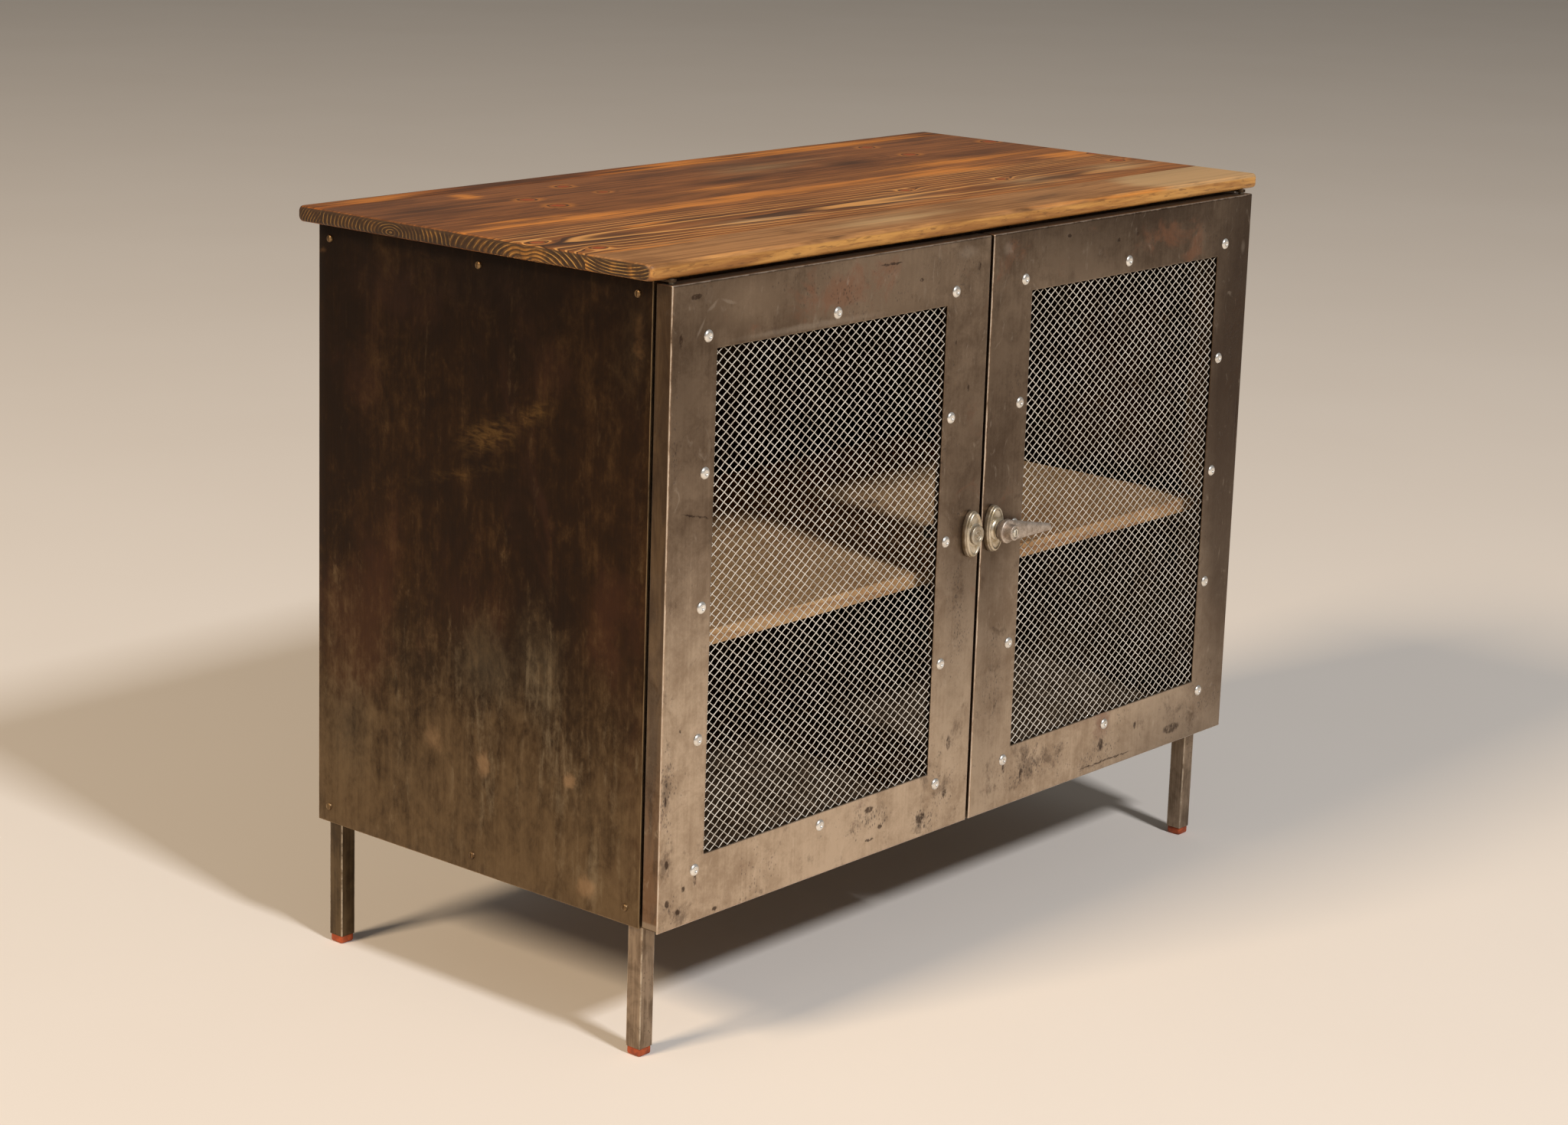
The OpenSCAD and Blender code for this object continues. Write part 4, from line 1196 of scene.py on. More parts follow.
@dataclass(frozen=True)
class Board:
    """A board along X whose long edges and ends are rounded, as a section carried along X."""

    low: Array
    high: Array
    front_radius: float
    back_radius: float
    end_radius: float
    corner_radius: float
    round_corner_front: bool = False
    round_corner_back: bool = False
    wear: float = 0.0
    stations: int = 96
    arc_steps: int = 6

    def _stations(self) -> Array:
        """Places along X: close together at the rounded ends, even between them."""
        reach = max(self.end_radius, self.corner_radius)
        near = reach * (1.0 - np.cos(np.linspace(0.0, np.pi / 2.0, 14)))
        middle = np.linspace(reach, self.high[0] - self.low[0] - reach, self.stations)[1:-1]
        return self.low[0] + np.concatenate([near, middle, self.high[0] - self.low[0] - near[::-1]])

    def surface(self) -> Array:
        """Grid of the board's skin.

        At a distance e from an end the section is lower by r - sqrt(r^2 - (r - e)^2) at its
        top and its bottom, with r the end radius, and narrower in the same way with the
        corner radius. The section itself is a rectangle with quarter circles, whose radius
        is worn up and down by two slow sine waves along X.

        Returns:
            Grid of stations by points round the section.
        """
        x = self._stations()
        from_end = np.minimum(x - self.low[0], self.high[0] - x)
        drop = self._quarter(from_end, self.end_radius)
        pull = self._quarter(from_end, self.corner_radius)
        bottom, top = self.low[2] + drop, self.high[2] - drop
        front = self.low[1] + pull * self.round_corner_front
        back = self.high[1] - pull * self.round_corner_back
        waves = 1.0 + self.wear * (0.6 * np.sin(x * 21.0) + 0.4 * np.sin(x * 57.0 + 1.0))
        half = (top - bottom) / 2.0
        front_r = np.minimum(self.front_radius * waves, half * 0.98)
        back_r = np.minimum(self.back_radius * waves, half * 0.98)
        parts = []
        layout = [(front, bottom, 1, 1, front_r, 180.0), (back, bottom, -1, 1, back_r, 270.0),
                  (back, top, -1, -1, back_r, 0.0), (front, top, 1, -1, front_r, 90.0)]
        for edge, level, inward_y, inward_z, radius, start in layout:
            angle = np.radians(start + 90.0 * np.arange(self.arc_steps + 1) / self.arc_steps)
            centre_y = (edge + inward_y * radius)[:, None]
            centre_z = (level + inward_z * radius)[:, None]
            parts.append(np.stack([np.broadcast_to(x[:, None], (len(x), len(angle))),
                                   centre_y + radius[:, None] * np.cos(angle),
                                   centre_z + radius[:, None] * np.sin(angle)], -1))
        return np.concatenate(parts, axis=1)

    @staticmethod
    def _quarter(distance: Array, radius: float) -> Array:
        """How far a quarter circle has pulled back at each distance from an end."""
        inside = np.clip(radius - distance, 0.0, radius)
        return radius - np.sqrt(radius * radius - inside * inside)

    def make(self, name: str, material: Material) -> Piece:
        """Builds the board.

        Args:
            name: The piece's name.
            material: Its finish.

        Returns:
            The piece.
        """
        maker = MeshMaker()
        maker.tube(self.surface())
        return maker.make(name, material)


# The planks from front to back, with the fields of TopPine that make each its own.
PLANKS = {
    "top_plank_front": dict(
        name="top_pine_front", pith=(43.0, 26.0), ring=3.2 * MM, flat=0.5, seed=2.0,
        ground=rgb(132, 90, 50), brown=rgb(176, 126, 78),
        golden=((-470, 82, 200, 10, 0.8), (250, 4, 420, 10, 0.6)),
        scorched=((150, 44, 190, 26, 0.6), (-330, 56, 200, 26, 0.4)),
        ashen=((500, 40, 200, 80, 3.0), (-110, 44, 190, 36, 0.7), (70, 84, 60, 12, 0.6))),
    "top_plank_middle": dict(
        name="top_pine_middle", pith=(142.0, -17.0), lean=(-0.03, 0.008), ring=3.8 * MM,
        flat=0.44, seed=6.0,
        knots=((-503, 108, 8), (-527, 170, 8), (77, 176, 7), (246, 165, 7), (506, 180, 8),
               (538, 238, 8)),
        golden=((-80, 252, 560, 32, 0.8), (-400, 264, 230, 16, 1.2), (-110, 264, 120, 20, 1.0),
                (240, 250, 170, 34, 0.9), (500, 254, 90, 40, 0.9), (-352, 176, 66, 16, 0.9)),
        scorched=((-470, 140, 150, 60, 1.0), (-270, 172, 200, 26, 0.8), (70, 190, 160, 24, 0.5),
                  (330, 186, 170, 26, 0.6), (-500, 212, 70, 16, 0.8)),
        ashen=((-240, 130, 140, 40, 0.6), (20, 140, 180, 50, 0.5), (260, 140, 150, 50, 0.5),
               (450, 150, 130, 60, 0.6)),
        lined=((-400, 150, 480, 100, 1.4), (280, 216, 460, 34, 1.0),
               (0, 150, 700, 110, 0.75))),
    "top_plank_back": dict(
        name="top_pine_back", pith=(375.0, -15.0), lean=(0.02, -0.006), ring=2.6 * MM, flat=0.44,
        seed=11.0, ground=rgb(96, 58, 30), brown=rgb(142, 88, 46),
        knots=((-213, 437, 8), (-319, 388, 9), (-324, 337, 10), (-209, 379, 6), (349, 451, 9),
               (338, 374, 9), (528, 393, 10)),
        golden=((-358, 447, 30, 30, 0.9), (350, 296, 260, 34, 0.7), (-70, 320, 80, 22, 0.5),
                (-440, 284, 150, 14, 0.7)),
        scorched=((-10, 358, 120, 26, 0.9), (215, 366, 80, 34, 1.0), (100, 440, 280, 24, 0.7),
                  (430, 330, 150, 44, 0.5), (-200, 400, 180, 40, 0.4),
                  (-460, 400, 130, 70, 0.8)),
        lined=((0, 300, 700, 60, 0.3),), ashen=((90, 404, 180, 60, 0.5),)),
    "top_strip_back": dict(
        name="top_pine_strip", pith=(430.0, -50.0), lean=(0.01, 0.0), ring=3.4 * MM, flat=0.9,
        seed=15.0, ground=rgb(86, 48, 18), brown=rgb(148, 84, 32),
        golden=((-450, 490, 150, 34, 0.6), (40, 490, 200, 34, 0.8), (330, 490, 330, 34, 0.9)),
        scorched=((-250, 500, 150, 30, 1.0), (-480, 500, 80, 10, 0.5))),
}


@dataclass
class WoodenTop:
    """The glued top: three planks and a narrow strip that meet in fine glue lines."""

    edge_radius: float = 5.0 * MM
    corner_radius: float = 9.0 * MM
    glue_radius: float = 0.35 * MM
    wear: float = 0.14

    def build(self) -> None:
        """Makes the planks, each with its own pith, knots, flames and scorches."""
        boxes = [corners(name) for name in PLANKS]
        low, high = boxes[0][0], boxes[-1][1]
        finishes = [TopPine(front=low[1], top=high[2], half=high[0], depth=high[1] - low[1],
                            **grain).build() for grain in PLANKS.values()]
        for k, (name, box, finish) in enumerate(zip(PLANKS, boxes, finishes)):
            first, last = k == 0, k == len(PLANKS) - 1
            board = Board(*box, self.edge_radius if first else self.glue_radius,
                          self.edge_radius if last else self.glue_radius, self.edge_radius,
                          self.corner_radius, first, last, self.wear)
            dress(board.make(f"{name}_board", finish), name)


@dataclass
class Shelf:
    """The shelf board, its cleats, its screws and the keeper on its front edge."""

    edge_radius: float = 1.6 * MM

    def build(self, frame_steel: Material, plated: Material, screw: Material) -> None:
        """Makes the shelf and what holds it.

        Args:
            frame_steel: Finish of the cleats.
            plated: Finish of the keeper.
            screw: Finish of the screws.
        """
        low, high = corners("shelf")
        pine = Pine("shelf_pine", low[1], high[2], pith=(230.0, -90.0),
                    lean=(0.03, 0.02), ring=6.4 * MM, seed=17.0, coat=0.0, rough=0.6,
                    knots=((-300, 160, 9), (160, 250, 9)))
        board = Board(low, high, *[self.edge_radius] * 4, True, True)
        dress(board.make("shelf_board", pine.build()), "shelf")
        soften(frame_steel, 0.4 * MM, "left_shelf_cleat", "right_shelf_cleat")
        soften(plated, 0.35 * MM, "latch_keeper")
        soften(screw, 0.15 * MM, "shelf_screws")


@dataclass(frozen=True)
class Sheet:
    """A thin flat sheet with a faint waviness, such as a side or back panel."""

    low: Array
    high: Array
    thin_axis: int
    edge_radius: float = 0.45 * MM
    swell: float = 0.12 * MM
    cells: int = 44

    def make(self, name: str, material: Material) -> Piece:
        """Builds the sheet as rings that shrink into two faces.

        Going round a rectangle with small rounded corners, each ring is pulled in by a
        quarter circle at the sheet's edge. Both faces are grids pushed in by a product of
        two slow sine waves, so the sheet stays inside its box.

        Args:
            name: The piece's name.
            material: Its finish.

        Returns:
            The piece.
        """
        wide, tall = [k for k in range(3) if k != self.thin_axis]
        thin = self.thin_axis
        r = self.edge_radius
        u = np.linspace(self.low[wide] + r, self.high[wide] - r, self.cells)
        v = np.linspace(self.low[tall] + r, self.high[tall] - r, self.cells)
        grid_u, grid_v = np.meshgrid(u, v, indexing="ij")
        part_u = (grid_u - u[0]) / (u[-1] - u[0])
        part_v = (grid_v - v[0]) / (v[-1] - v[0])
        dent = self.swell * (np.sin(np.pi * part_u) * np.sin(np.pi * part_v)
                             * (1.0 + np.sin(5.0 * part_u + 2.0) * np.sin(7.0 * part_v)))
        maker = MeshMaker()
        for level, sign in ((self.low[thin], 1.0), (self.high[thin], -1.0)):
            face = np.empty((self.cells, self.cells, 3))
            face[..., wide], face[..., tall] = grid_u, grid_v
            face[..., thin] = level + (dent if level == self.high[thin] else 0.0) * sign
            maker.grid(face)
        walk = np.concatenate([np.stack([u[:-1], np.full(len(u) - 1, v[0])], -1),
                               np.stack([np.full(len(v) - 1, u[-1]), v[:-1]], -1),
                               np.stack([u[:0:-1], np.full(len(u) - 1, v[-1])], -1),
                               np.stack([np.full(len(v) - 1, u[0]), v[:0:-1]], -1)])
        angle = np.radians(np.linspace(0.0, 90.0, 4))
        out = np.concatenate([r * np.sin(angle), r * np.cos(angle)])
        depth = np.concatenate([self.low[thin] + r * (1.0 - np.cos(angle)),
                                self.high[thin] - r * (1.0 - np.sin(angle))])
        middle = np.array([(u[0] + u[-1]) / 2.0, (v[0] + v[-1]) / 2.0])
        half = np.array([(u[-1] - u[0]) / 2.0, (v[-1] - v[0]) / 2.0])
        side = np.where(np.isclose(np.abs(walk - middle), half), np.sign(walk - middle), 0.0)
        rim = np.empty((len(out), len(walk), 3))
        rim[..., wide] = walk[:, 0] + out[:, None] * side[:, 0]
        rim[..., tall] = walk[:, 1] + out[:, None] * side[:, 1]
        rim[..., thin] = depth[:, None]
        maker.grid(rim, wrap_v=True)
        return maker.make(name, material)


# Fields of PanelPatina for each sheet panel.
PANEL_PATCHES = {
    "left_side_panel": dict(
        reds=((400, 260, 110, 170, 1.0), (420, 480, 60, 90, 0.6), (60, 280, 60, 90, 1.0),
              (110, 560, 60, 60, 0.7), (260, 300, 120, 110, 0.6), (360, 600, 120, 60, 0.4)),
        greys=((228, 235, 90, 90, 0.9), (150, 250, 70, 120, 0.8), (30, 600, 46, 110, 0.5),
               (450, 100, 70, 110, 0.8), (250, 630, 230, 40, 0.3), (350, 90, 90, 60, 0.4)),
        drips=((150, 240, 46, 110, 1.2), (222, 130, 34, 110, 1.0), (110, 150, 90, 120, 0.8),
               (80, 40, 60, 50, 0.9)),
        spots=((226, 122, 16, 26, 1.0), (100, 135, 18, 14, 1.0), (74, 26, 22, 20, 0.9),
               (306, 135, 34, 40, 0.5), (480, 640, 14, 8, 0.7), (18, 610, 18, 50, 0.5)),
        smears=((226, 478, 70, 28, 1.0, -0.3), (160, 510, 44, 16, 0.9, -0.5),
                (270, 430, 120, 10, 0.5, -0.25), (310, 650, 40, 14, 0.4))),
    "right_side_panel": dict(
        reds=((120, 420, 110, 150, 1.0), (380, 200, 90, 90, 0.8)),
        greys=((300, 500, 140, 110, 0.9), (120, 120, 90, 100, 0.7)),
        drips=((330, 260, 60, 150, 1.0), (120, 110, 90, 90, 0.7)),
        spots=((300, 240, 18, 30, 0.8), (90, 500, 16, 20, 0.6)),
        smears=((190, 380, 60, 16, 0.7, -0.3),)),
    "back_panel": dict(
        across=0,
        reds=((260, 420, 190, 150, 1.0), (800, 220, 150, 120, 0.8)),
        greys=((620, 460, 220, 120, 0.9), (180, 140, 120, 100, 0.7)),
        drips=((700, 300, 120, 170, 1.0), (300, 130, 160, 100, 0.7)),
        spots=((560, 250, 20, 30, 0.8), (880, 480, 24, 20, 0.7)),
        smears=((420, 540, 90, 18, 0.7, 0.3),)),
}


@dataclass
class Carcass:
    """Frame of square tube, sheet panels, floor, plates, pins, pads and screws."""

    tube_radius: float = 1.2 * MM
    plate_radius: float = 0.4 * MM

    def build(self, steel: Material, plated: Material, screw: Material) -> None:
        """Makes everything that is fixed, apart from the wood and the legs.

        Args:
            steel: Finish of tubes and plates.
            plated: Finish of pins.
            screw: Finish of screws.
        """
        soften(steel, self.tube_radius, *(f"{word}_post" for word in CORNERS),
               *(f"{level}_{word}_rail" for level in ("top", "bottom")
                 for word in ("front", "back", "left", "right")), segments=3)
        soften(steel, self.plate_radius, "left_hinge_plates", "right_hinge_plates",
               "back_post_plates")
        self._panels()
        soften(plated, 0.3 * MM, "hinge_pins")
        soften(screw, 0.2 * MM, "side_screws", "back_screws", "top_screws")
        rubber = Matte("pad_rubber", rgb(40, 38, 36), rgb(54, 51, 48), rough=0.8).build()
        soften(rubber, 0.8 * MM, "door_bumpers", segments=3)

    def _panels(self) -> None:
        """Makes the sheets: two sides, the back and the floor."""
        for node, patches in PANEL_PATCHES.items():
            low, high = corners(node)
            patina = PanelPatina(f"{node.split('_')[0]}_panel_patina", low, high, **patches)
            sheet = Sheet(low, high, 1 - patina.across)
            dress(sheet.make(f"{node}_sheet", patina.build()), node)
        floor = BareSteel("floor_steel", rgb(134, 112, 88), rgb(86, 66, 46),
                          (30.0, 30.0, 30.0), metallic=0.7, rough=0.46).build()
        soften(floor, 0.3 * MM, "cabinet_floor")


@dataclass
class Legs:
    """Four square tube legs and the plugs in their lower ends."""

    wall: float = 1.5 * MM
    corner: float = 1.6 * MM
    inset: float = 0.7 * MM
    plug_corner: float = 3.6 * MM
    insert: float = 18.0 * MM
    # The front legs' tones, and darker tones painted on the rear legs as shade, since they stand in
    # the cabinet's shadow.
    front_shade: tuple[Rgb, Rgb] = (rgb(160, 140, 118), rgb(108, 90, 72))
    rear_shade: tuple[Rgb, Rgb] = (rgb(104, 86, 62), rgb(70, 56, 39))

    def build(self) -> None:
        """Makes the legs and the plugs."""
        plugs = MeshMaker()
        for word in CORNERS:
            low, high = corners(f"{word}_leg")
            self._leg(f"{word}_leg", low, high)
            self._plug(plugs, low, high)
        plastic = Matte("foot_plastic", rgb(174, 76, 28), rgb(128, 52, 20),
                        rough=0.55).build()
        dress(plugs.make("foot_plugs_moulded", plastic), "foot_plugs")

    def _leg(self, node: str, low: Array, high: Array) -> None:
        """Makes one leg: its outline carried up the outside and down the inside.

        Args:
            node: The leg's node.
            low: Its lowest corner.
            high: Its highest corner.
        """
        rings = [(0.0, low[2] + SOFT), *((0.0, z) for z in np.linspace(low[2], high[2], 9)[1:-1]),
                 (0.0, high[2] - SOFT), (SOFT, high[2]), (self.wall - SOFT, high[2]),
                 (self.wall, high[2] - SOFT), (self.wall, low[2] + SOFT),
                 (self.wall - SOFT, low[2]), (SOFT, low[2])]
        grid = np.stack([self._ring(low, high, inset, z) for inset, z in rings])
        maker = MeshMaker()
        maker.grid(grid, wrap_u=True, wrap_v=True)
        middle = (low + high) / 2.0
        # Rear legs take the painted-shade tones.
        shade = self.rear_shade if middle[1] > 0.0 else self.front_shade
        steel = LegSteel(f"{node}_steel", (abs(middle[0]), middle[1]),
                         (high[0] - low[0]) / 2.0, *shade).build()
        dress(maker.make(f"{node}_tube", steel), node)

    def _ring(self, low: Array, high: Array, inset: float, z: float, corner: float = 0.0) -> Array:
        """The leg's outline pulled in by a distance, at one height.

        Args:
            low: The leg's lowest corner.
            high: Its highest corner.
            inset: How far the outline is pulled in.
            z: The height.
            corner: Corner radius before the inset, where it isn't the leg's own.

        Returns:
            The ring's points.
        """
        radius = (corner or self.corner) - inset
        flat = rounded_rect(low[:2] + inset, high[:2] - inset, max(radius, 0.3 * MM),
                            CORNER_STEPS)
        return np.column_stack([flat, np.full(len(flat), z)])

    def _plug(self, maker: MeshMaker, low: Array, high: Array) -> None:
        """Adds one plug: a rounded head under the tube and an insert inside it.

        Args:
            maker: Where it is added.
            low: The leg's lowest corner.
            high: The leg's highest corner.
        """
        joint = low[2] - 0.15 * MM
        inside = self.wall + 0.08 * MM
        bulge = 2.4 * MM
        turn = np.radians(np.linspace(0.0, 90.0, 6))
        rings = [(self.inset + bulge + MM, 0.0),
                 *((self.inset + bulge * (1.0 - a), bulge * (1.0 - b))
                   for a, b in zip(np.sin(turn), np.cos(turn))),
                 (self.inset, joint - 1.2 * MM), (self.inset + 0.3 * MM, joint - 0.4 * MM),
                 (self.inset + 0.9 * MM, joint), (inside + 0.6 * MM, joint + 0.1 * MM),
                 (inside + 0.6 * MM, low[2] + self.insert - MM),
                 (inside + 1.6 * MM, low[2] + self.insert)]
        maker.tube(np.stack([self._ring(low, high, inset, z, self.plug_corner)
                             for inset, z in rings]))


# Stains, rusty areas, scuffs, dark marks, painted shade (shaded) and painted light (bright) of each
# door, as fields of DoorSteel.
DOOR_PATCHES = {
    Side.LEFT: dict(
        stained=((20, 20, 42, 42), (8, 155, 14, 170, 0.8), (8, 475, 12, 150, 0.5),
                 (345, 45, 55, 30, 0.9), (433, 22, 45, 22), (460, 70, 45, 75, 0.9),
                 (485, 275, 30, 165, 0.7), (480, 505, 28, 95, 0.4),
                 (465, 625, 60, 40, 0.5)),
        rusty=((260, 630, 130, 42), (320, 652, 100, 18, 0.8), (220, 30, 160, 30, 0.3)),
        scuffed=((213, 603, 150, 5, 0.9), (475, 653, 24, 10, 0.8),
                 (43, 621, 16, 2.4, 1.0, 1.0), (60, 641, 12, 2.4, 1.0, 0.6),
                 (84, 643, 16, 2.4, 0.9, -0.3), (401, 619, 4, 14, 0.5)),
        marked=((339, 54, 10, 5), (433, 22, 12, 8), (360, 30, 6, 4), (478, 100, 4, 12),
                (474, 43, 5, 8), (342, 19, 9, 2), (56, 45, 3, 8), (38, 40, 4, 4),
                (30, 17, 5, 4), (14, 30, 4, 5), (87, 6, 5, 3), (7, 140, 2.5, 8),
                (12, 72, 3, 6), (27, 210, 2, 3), (42, 430.5, 27, 1.3, 1.0, -0.24),
                (396, 632, 4, 3), (343, 654, 26, 2, 0.8), (497, 636, 5, 8, 0.8),
                (35, 653, 12, 4, 0.8), (14, 611, 4, 12, 0.7), (460, 556, 3, 4),
                (486, 503, 3, 5)),
        shaded=((20, 570, 110, 220, 0.6), (490, 330, 110, 300, 0.75)),
        # Painted light on the top rail.
        bright=((330, 636, 190, 70, 0.9), (110, 640, 130, 50, 0.6))),
    Side.RIGHT: dict(
        stained=((400, 35, 110, 35, 0.9), (290, 20, 90, 25, 0.8), (480, 155, 30, 150, 0.6),
                 (475, 455, 30, 160, 0.5), (25, 455, 30, 200, 0.6), (90, 40, 80, 40, 0.5)),
        rusty=((190, 630, 150, 40, 0.8), (122, 608, 60, 14, 0.9), (460, 645, 60, 30, 0.5),
               (20, 55, 25, 60, 0.5), (260, 50, 25, 35, 0.9)),
        scuffed=((492, 650, 12, 10, 0.8), (14, 604, 6, 12, 0.8), (70, 34, 14, 2, 0.9, 0.5),
                 (52, 52, 12, 2, 0.8, -0.4)),
        marked=((377, 653, 5, 3), (279, 639, 4, 3), (241, 642, 4, 3), (260, 32, 7, 10, 0.9),
                (110, 20, 26, 9, 0.8), (250, 10, 80, 1.6, 0.8), (190, 40, 4, 7, 0.8),
                (420, 30, 5, 12, 0.9), (455, 46, 4, 9, 0.8), (7, 390, 3, 60, 0.6)),
        shaded=((0, 380, 150, 620, 1.55), (60, 0, 260, 120, 0.7), (220, 680, 420, 110, 1.0),
                (500, 330, 130, 420, 0.9))),
}


@dataclass
class Door:
    """One door: folded pan, woven mesh, retainer bars, rivets and hinge blocks."""

    side: Side
    skin: float = 2.0 * MM
    bend: float = 2.0 * MM
    corner: float = 1.2 * MM
    window_corner: float = 0.6 * MM
    pitch_x: float = 13.96 * MM
    pitch_z: float = 10.35 * MM
    border: float = 10.0 * MM
    rivet_head: float = 6.5 * MM
    rivet_height: float = 2.4 * MM
    thick_wire: float = 1.12 * MM
    thin_wire: float = 1.02 * MM
    front_depth: float = 1.0 * MM
    back_depth: float = 2.15 * MM
    lug_reach: float = 16.0 * MM
    lug_height: float = 3.3 * MM

    def __post_init__(self) -> None:
        """Reads the door's boxes."""
        self.low, self.high = corners(f"{self.side.word}_door_pan")
        self.mesh_low, self.mesh_high = corners(f"{self.side.word}_door_mesh")
        self.window_low = self.mesh_low + self.border
        self.window_high = self.mesh_high - self.border

    def build(self, steel: Material, plated: Material, bright: Material, dull: Material) -> None:
        """Makes the door's pieces.

        Args:
            steel: Finish of the retainer.
            plated: Finish of the hinge blocks.
            bright: Finish of the thick wires in front.
            dull: Finish of the thin wires behind them.
        """
        word = self.side.word
        sheet = DoorSteel(f"{word}_door_steel", self.low, self.high, self.side,
                          **DOOR_PATCHES[self.side])
        dress(self._pan(sheet.build()), f"{word}_door_pan")
        front = self._wires("rising", self.thick_wire, self.front_depth, 1, bright)
        back = self._wires("falling", self.thin_wire, self.back_depth, -1, dull)
        dress(front, f"{word}_door_mesh")
        dress(back, f"{word}_door_mesh", stands_for=False)
        soften(steel, 0.4 * MM, f"{word}_mesh_retainer")
        rivets = CastMetal(f"{word}_rivet_metal", rgb(244, 240, 232), rgb(214, 206, 194),
                           rgb(120, 100, 80), self.low[1] + MM, rough=0.24, speckle=0.2)
        dress(self._rivets(rivets.build()), f"{word}_door_rivets")
        soften(plated, 0.5 * MM, f"{word}_hinge_blocks")

    def _pan(self, finish: Material) -> Piece:
        """Builds the folded pan.

        One closed profile runs round the door: from the window's cut edge over the face,
        through a quarter-circle bend, along the folded side, back inside and over the rear
        of the face. Each profile point is an outline of the door or the window at its own
        inset and depth. Where the hinge lug passes, the folded side is cut to the skin.

        Args:
            finish: The finish.

        Returns:
            The piece.
        """
        skin, bend = self.skin, self.bend
        depth = self.high[1] - self.low[1]
        fold = [(bend * (1.0 - math.sin(t)), bend * (1.0 - math.cos(t)))
                for t in np.radians(np.linspace(0.0, 90.0, 7))]
        outer = [(bend + MM, 0.0), *fold, (0.0, bend + MM), (0.0, depth * 0.5), (0.0, depth - MM),
                 (0.0, depth - SOFT), (SOFT, depth), (skin - SOFT, depth), (skin, depth - SOFT),
                 (skin, depth - MM), (skin, skin + 1.2 * MM), (skin, skin + 0.5 * MM),
                 (skin + 0.5 * MM, skin), (skin + 1.2 * MM, skin)]
        window_before = [(0.0, skin - SOFT), (0.0, SOFT), (SOFT, 0.0), (SOFT + MM, 0.0)]
        window_after = [(SOFT + MM, skin), (SOFT, skin)]
        rows = ([self._window_ring(out, y) for out, y in window_before]
                + [self._outer_ring(inset, y) for inset, y in outer]
                + [self._window_ring(out, y) for out, y in window_after])
        maker = MeshMaker()
        maker.grid(np.stack(rows), wrap_u=True, wrap_v=True)
        return maker.make(f"{self.side.word}_door_pan_folded", finish, smooth=50.0)

    def _sides(self, low: Array, high: Array, outer: bool) -> list[Array]:
        """Places of extra points along the lower, right, upper and left side of an outline.

        Args:
            low: The outline's lowest corner in X and Z.
            high: Its highest corner.
            outer: Whether it is the door's own, which has points on the hinge lug's cut.

        Returns:
            The places along each side.
        """
        x = np.linspace(low[0], high[0], 26)[1:-1]
        z = np.linspace(low[1], high[1], 34)[1:-1]
        if not outer:
            step = (x[1] - x[0]) / 3.0
            right = np.concatenate([[z[0] - 2 * step / 3.0, z[0] - step / 3.0], z])
            return [self._fill(x, len(x) + 2), right, x[::-1], right[::-1]]
        pair = np.array([-0.03, 0.03]) * MM
        hinge = np.concatenate([self.low[2] + self.lug_height + pair, z])
        far = np.concatenate([[z[0] - 8 * MM, z[0] - 4 * MM], z])
        if self.side is Side.RIGHT:
            cut = self.high[0] - self.lug_reach
            lower = np.concatenate([x[x < cut - MM], cut + pair])
            return [self._fill(lower, len(x) + 2), hinge, x[::-1], far[::-1]]
        cut = self.low[0] + self.lug_reach
        lower = np.concatenate([cut + pair, x[x > cut + MM]])
        return [self._fill(lower, len(x) + 2), far, x[::-1], hinge[::-1]]

    @staticmethod
    def _fill(places: Array, count: int) -> Array:
        """Adds midpoints in the widest gaps until there are so many places.

        Args:
            places: Rising places.
            count: How many there are in the end.

        Returns:
            The longer list.
        """
        while len(places) < count:
            gap = int(np.argmax(np.diff(places)))
            places = np.insert(places, gap + 1, (places[gap] + places[gap + 1]) / 2.0)
        return places

    def _outer_ring(self, inset: float, y: float) -> Array:
        """The door's outline pulled in, at one depth, cut short at the hinge lug.

        Args:
            inset: How far the outline is pulled in.
            y: Depth behind the door's face.

        Returns:
            The ring's points.
        """
        low, high = self.low[[0, 2]], self.high[[0, 2]]
        radius = max(self.corner - inset, 0.15 * MM)
        flat = rounded_rect(low + inset, high - inset, radius, CORNER_STEPS,
                            self._sides(low, high, True))
        from_outer = (flat[:, 0] - low[0]) if self.side is Side.LEFT else (high[0] - flat[:, 0])
        cut = (from_outer < self.lug_reach) & (flat[:, 1] < low[1] + self.lug_height)
        depth = np.where(cut, min(y, self.skin + 0.05 * MM), y)
        return np.column_stack([flat[:, 0], self.low[1] + depth, flat[:, 1]])

    def _window_ring(self, out: float, y: float) -> Array:
        """The window's outline pushed out, at one depth.

        Args:
            out: How far the outline is pushed out.
            y: Depth behind the door's face.

        Returns:
            The ring's points.
        """
        low, high = self.window_low[[0, 2]], self.window_high[[0, 2]]
        flat = rounded_rect(low - out, high + out, self.window_corner + out, CORNER_STEPS,
                            self._sides(low, high, False))
        return np.column_stack([flat[:, 0], np.full(len(flat), self.low[1] + y), flat[:, 1]])

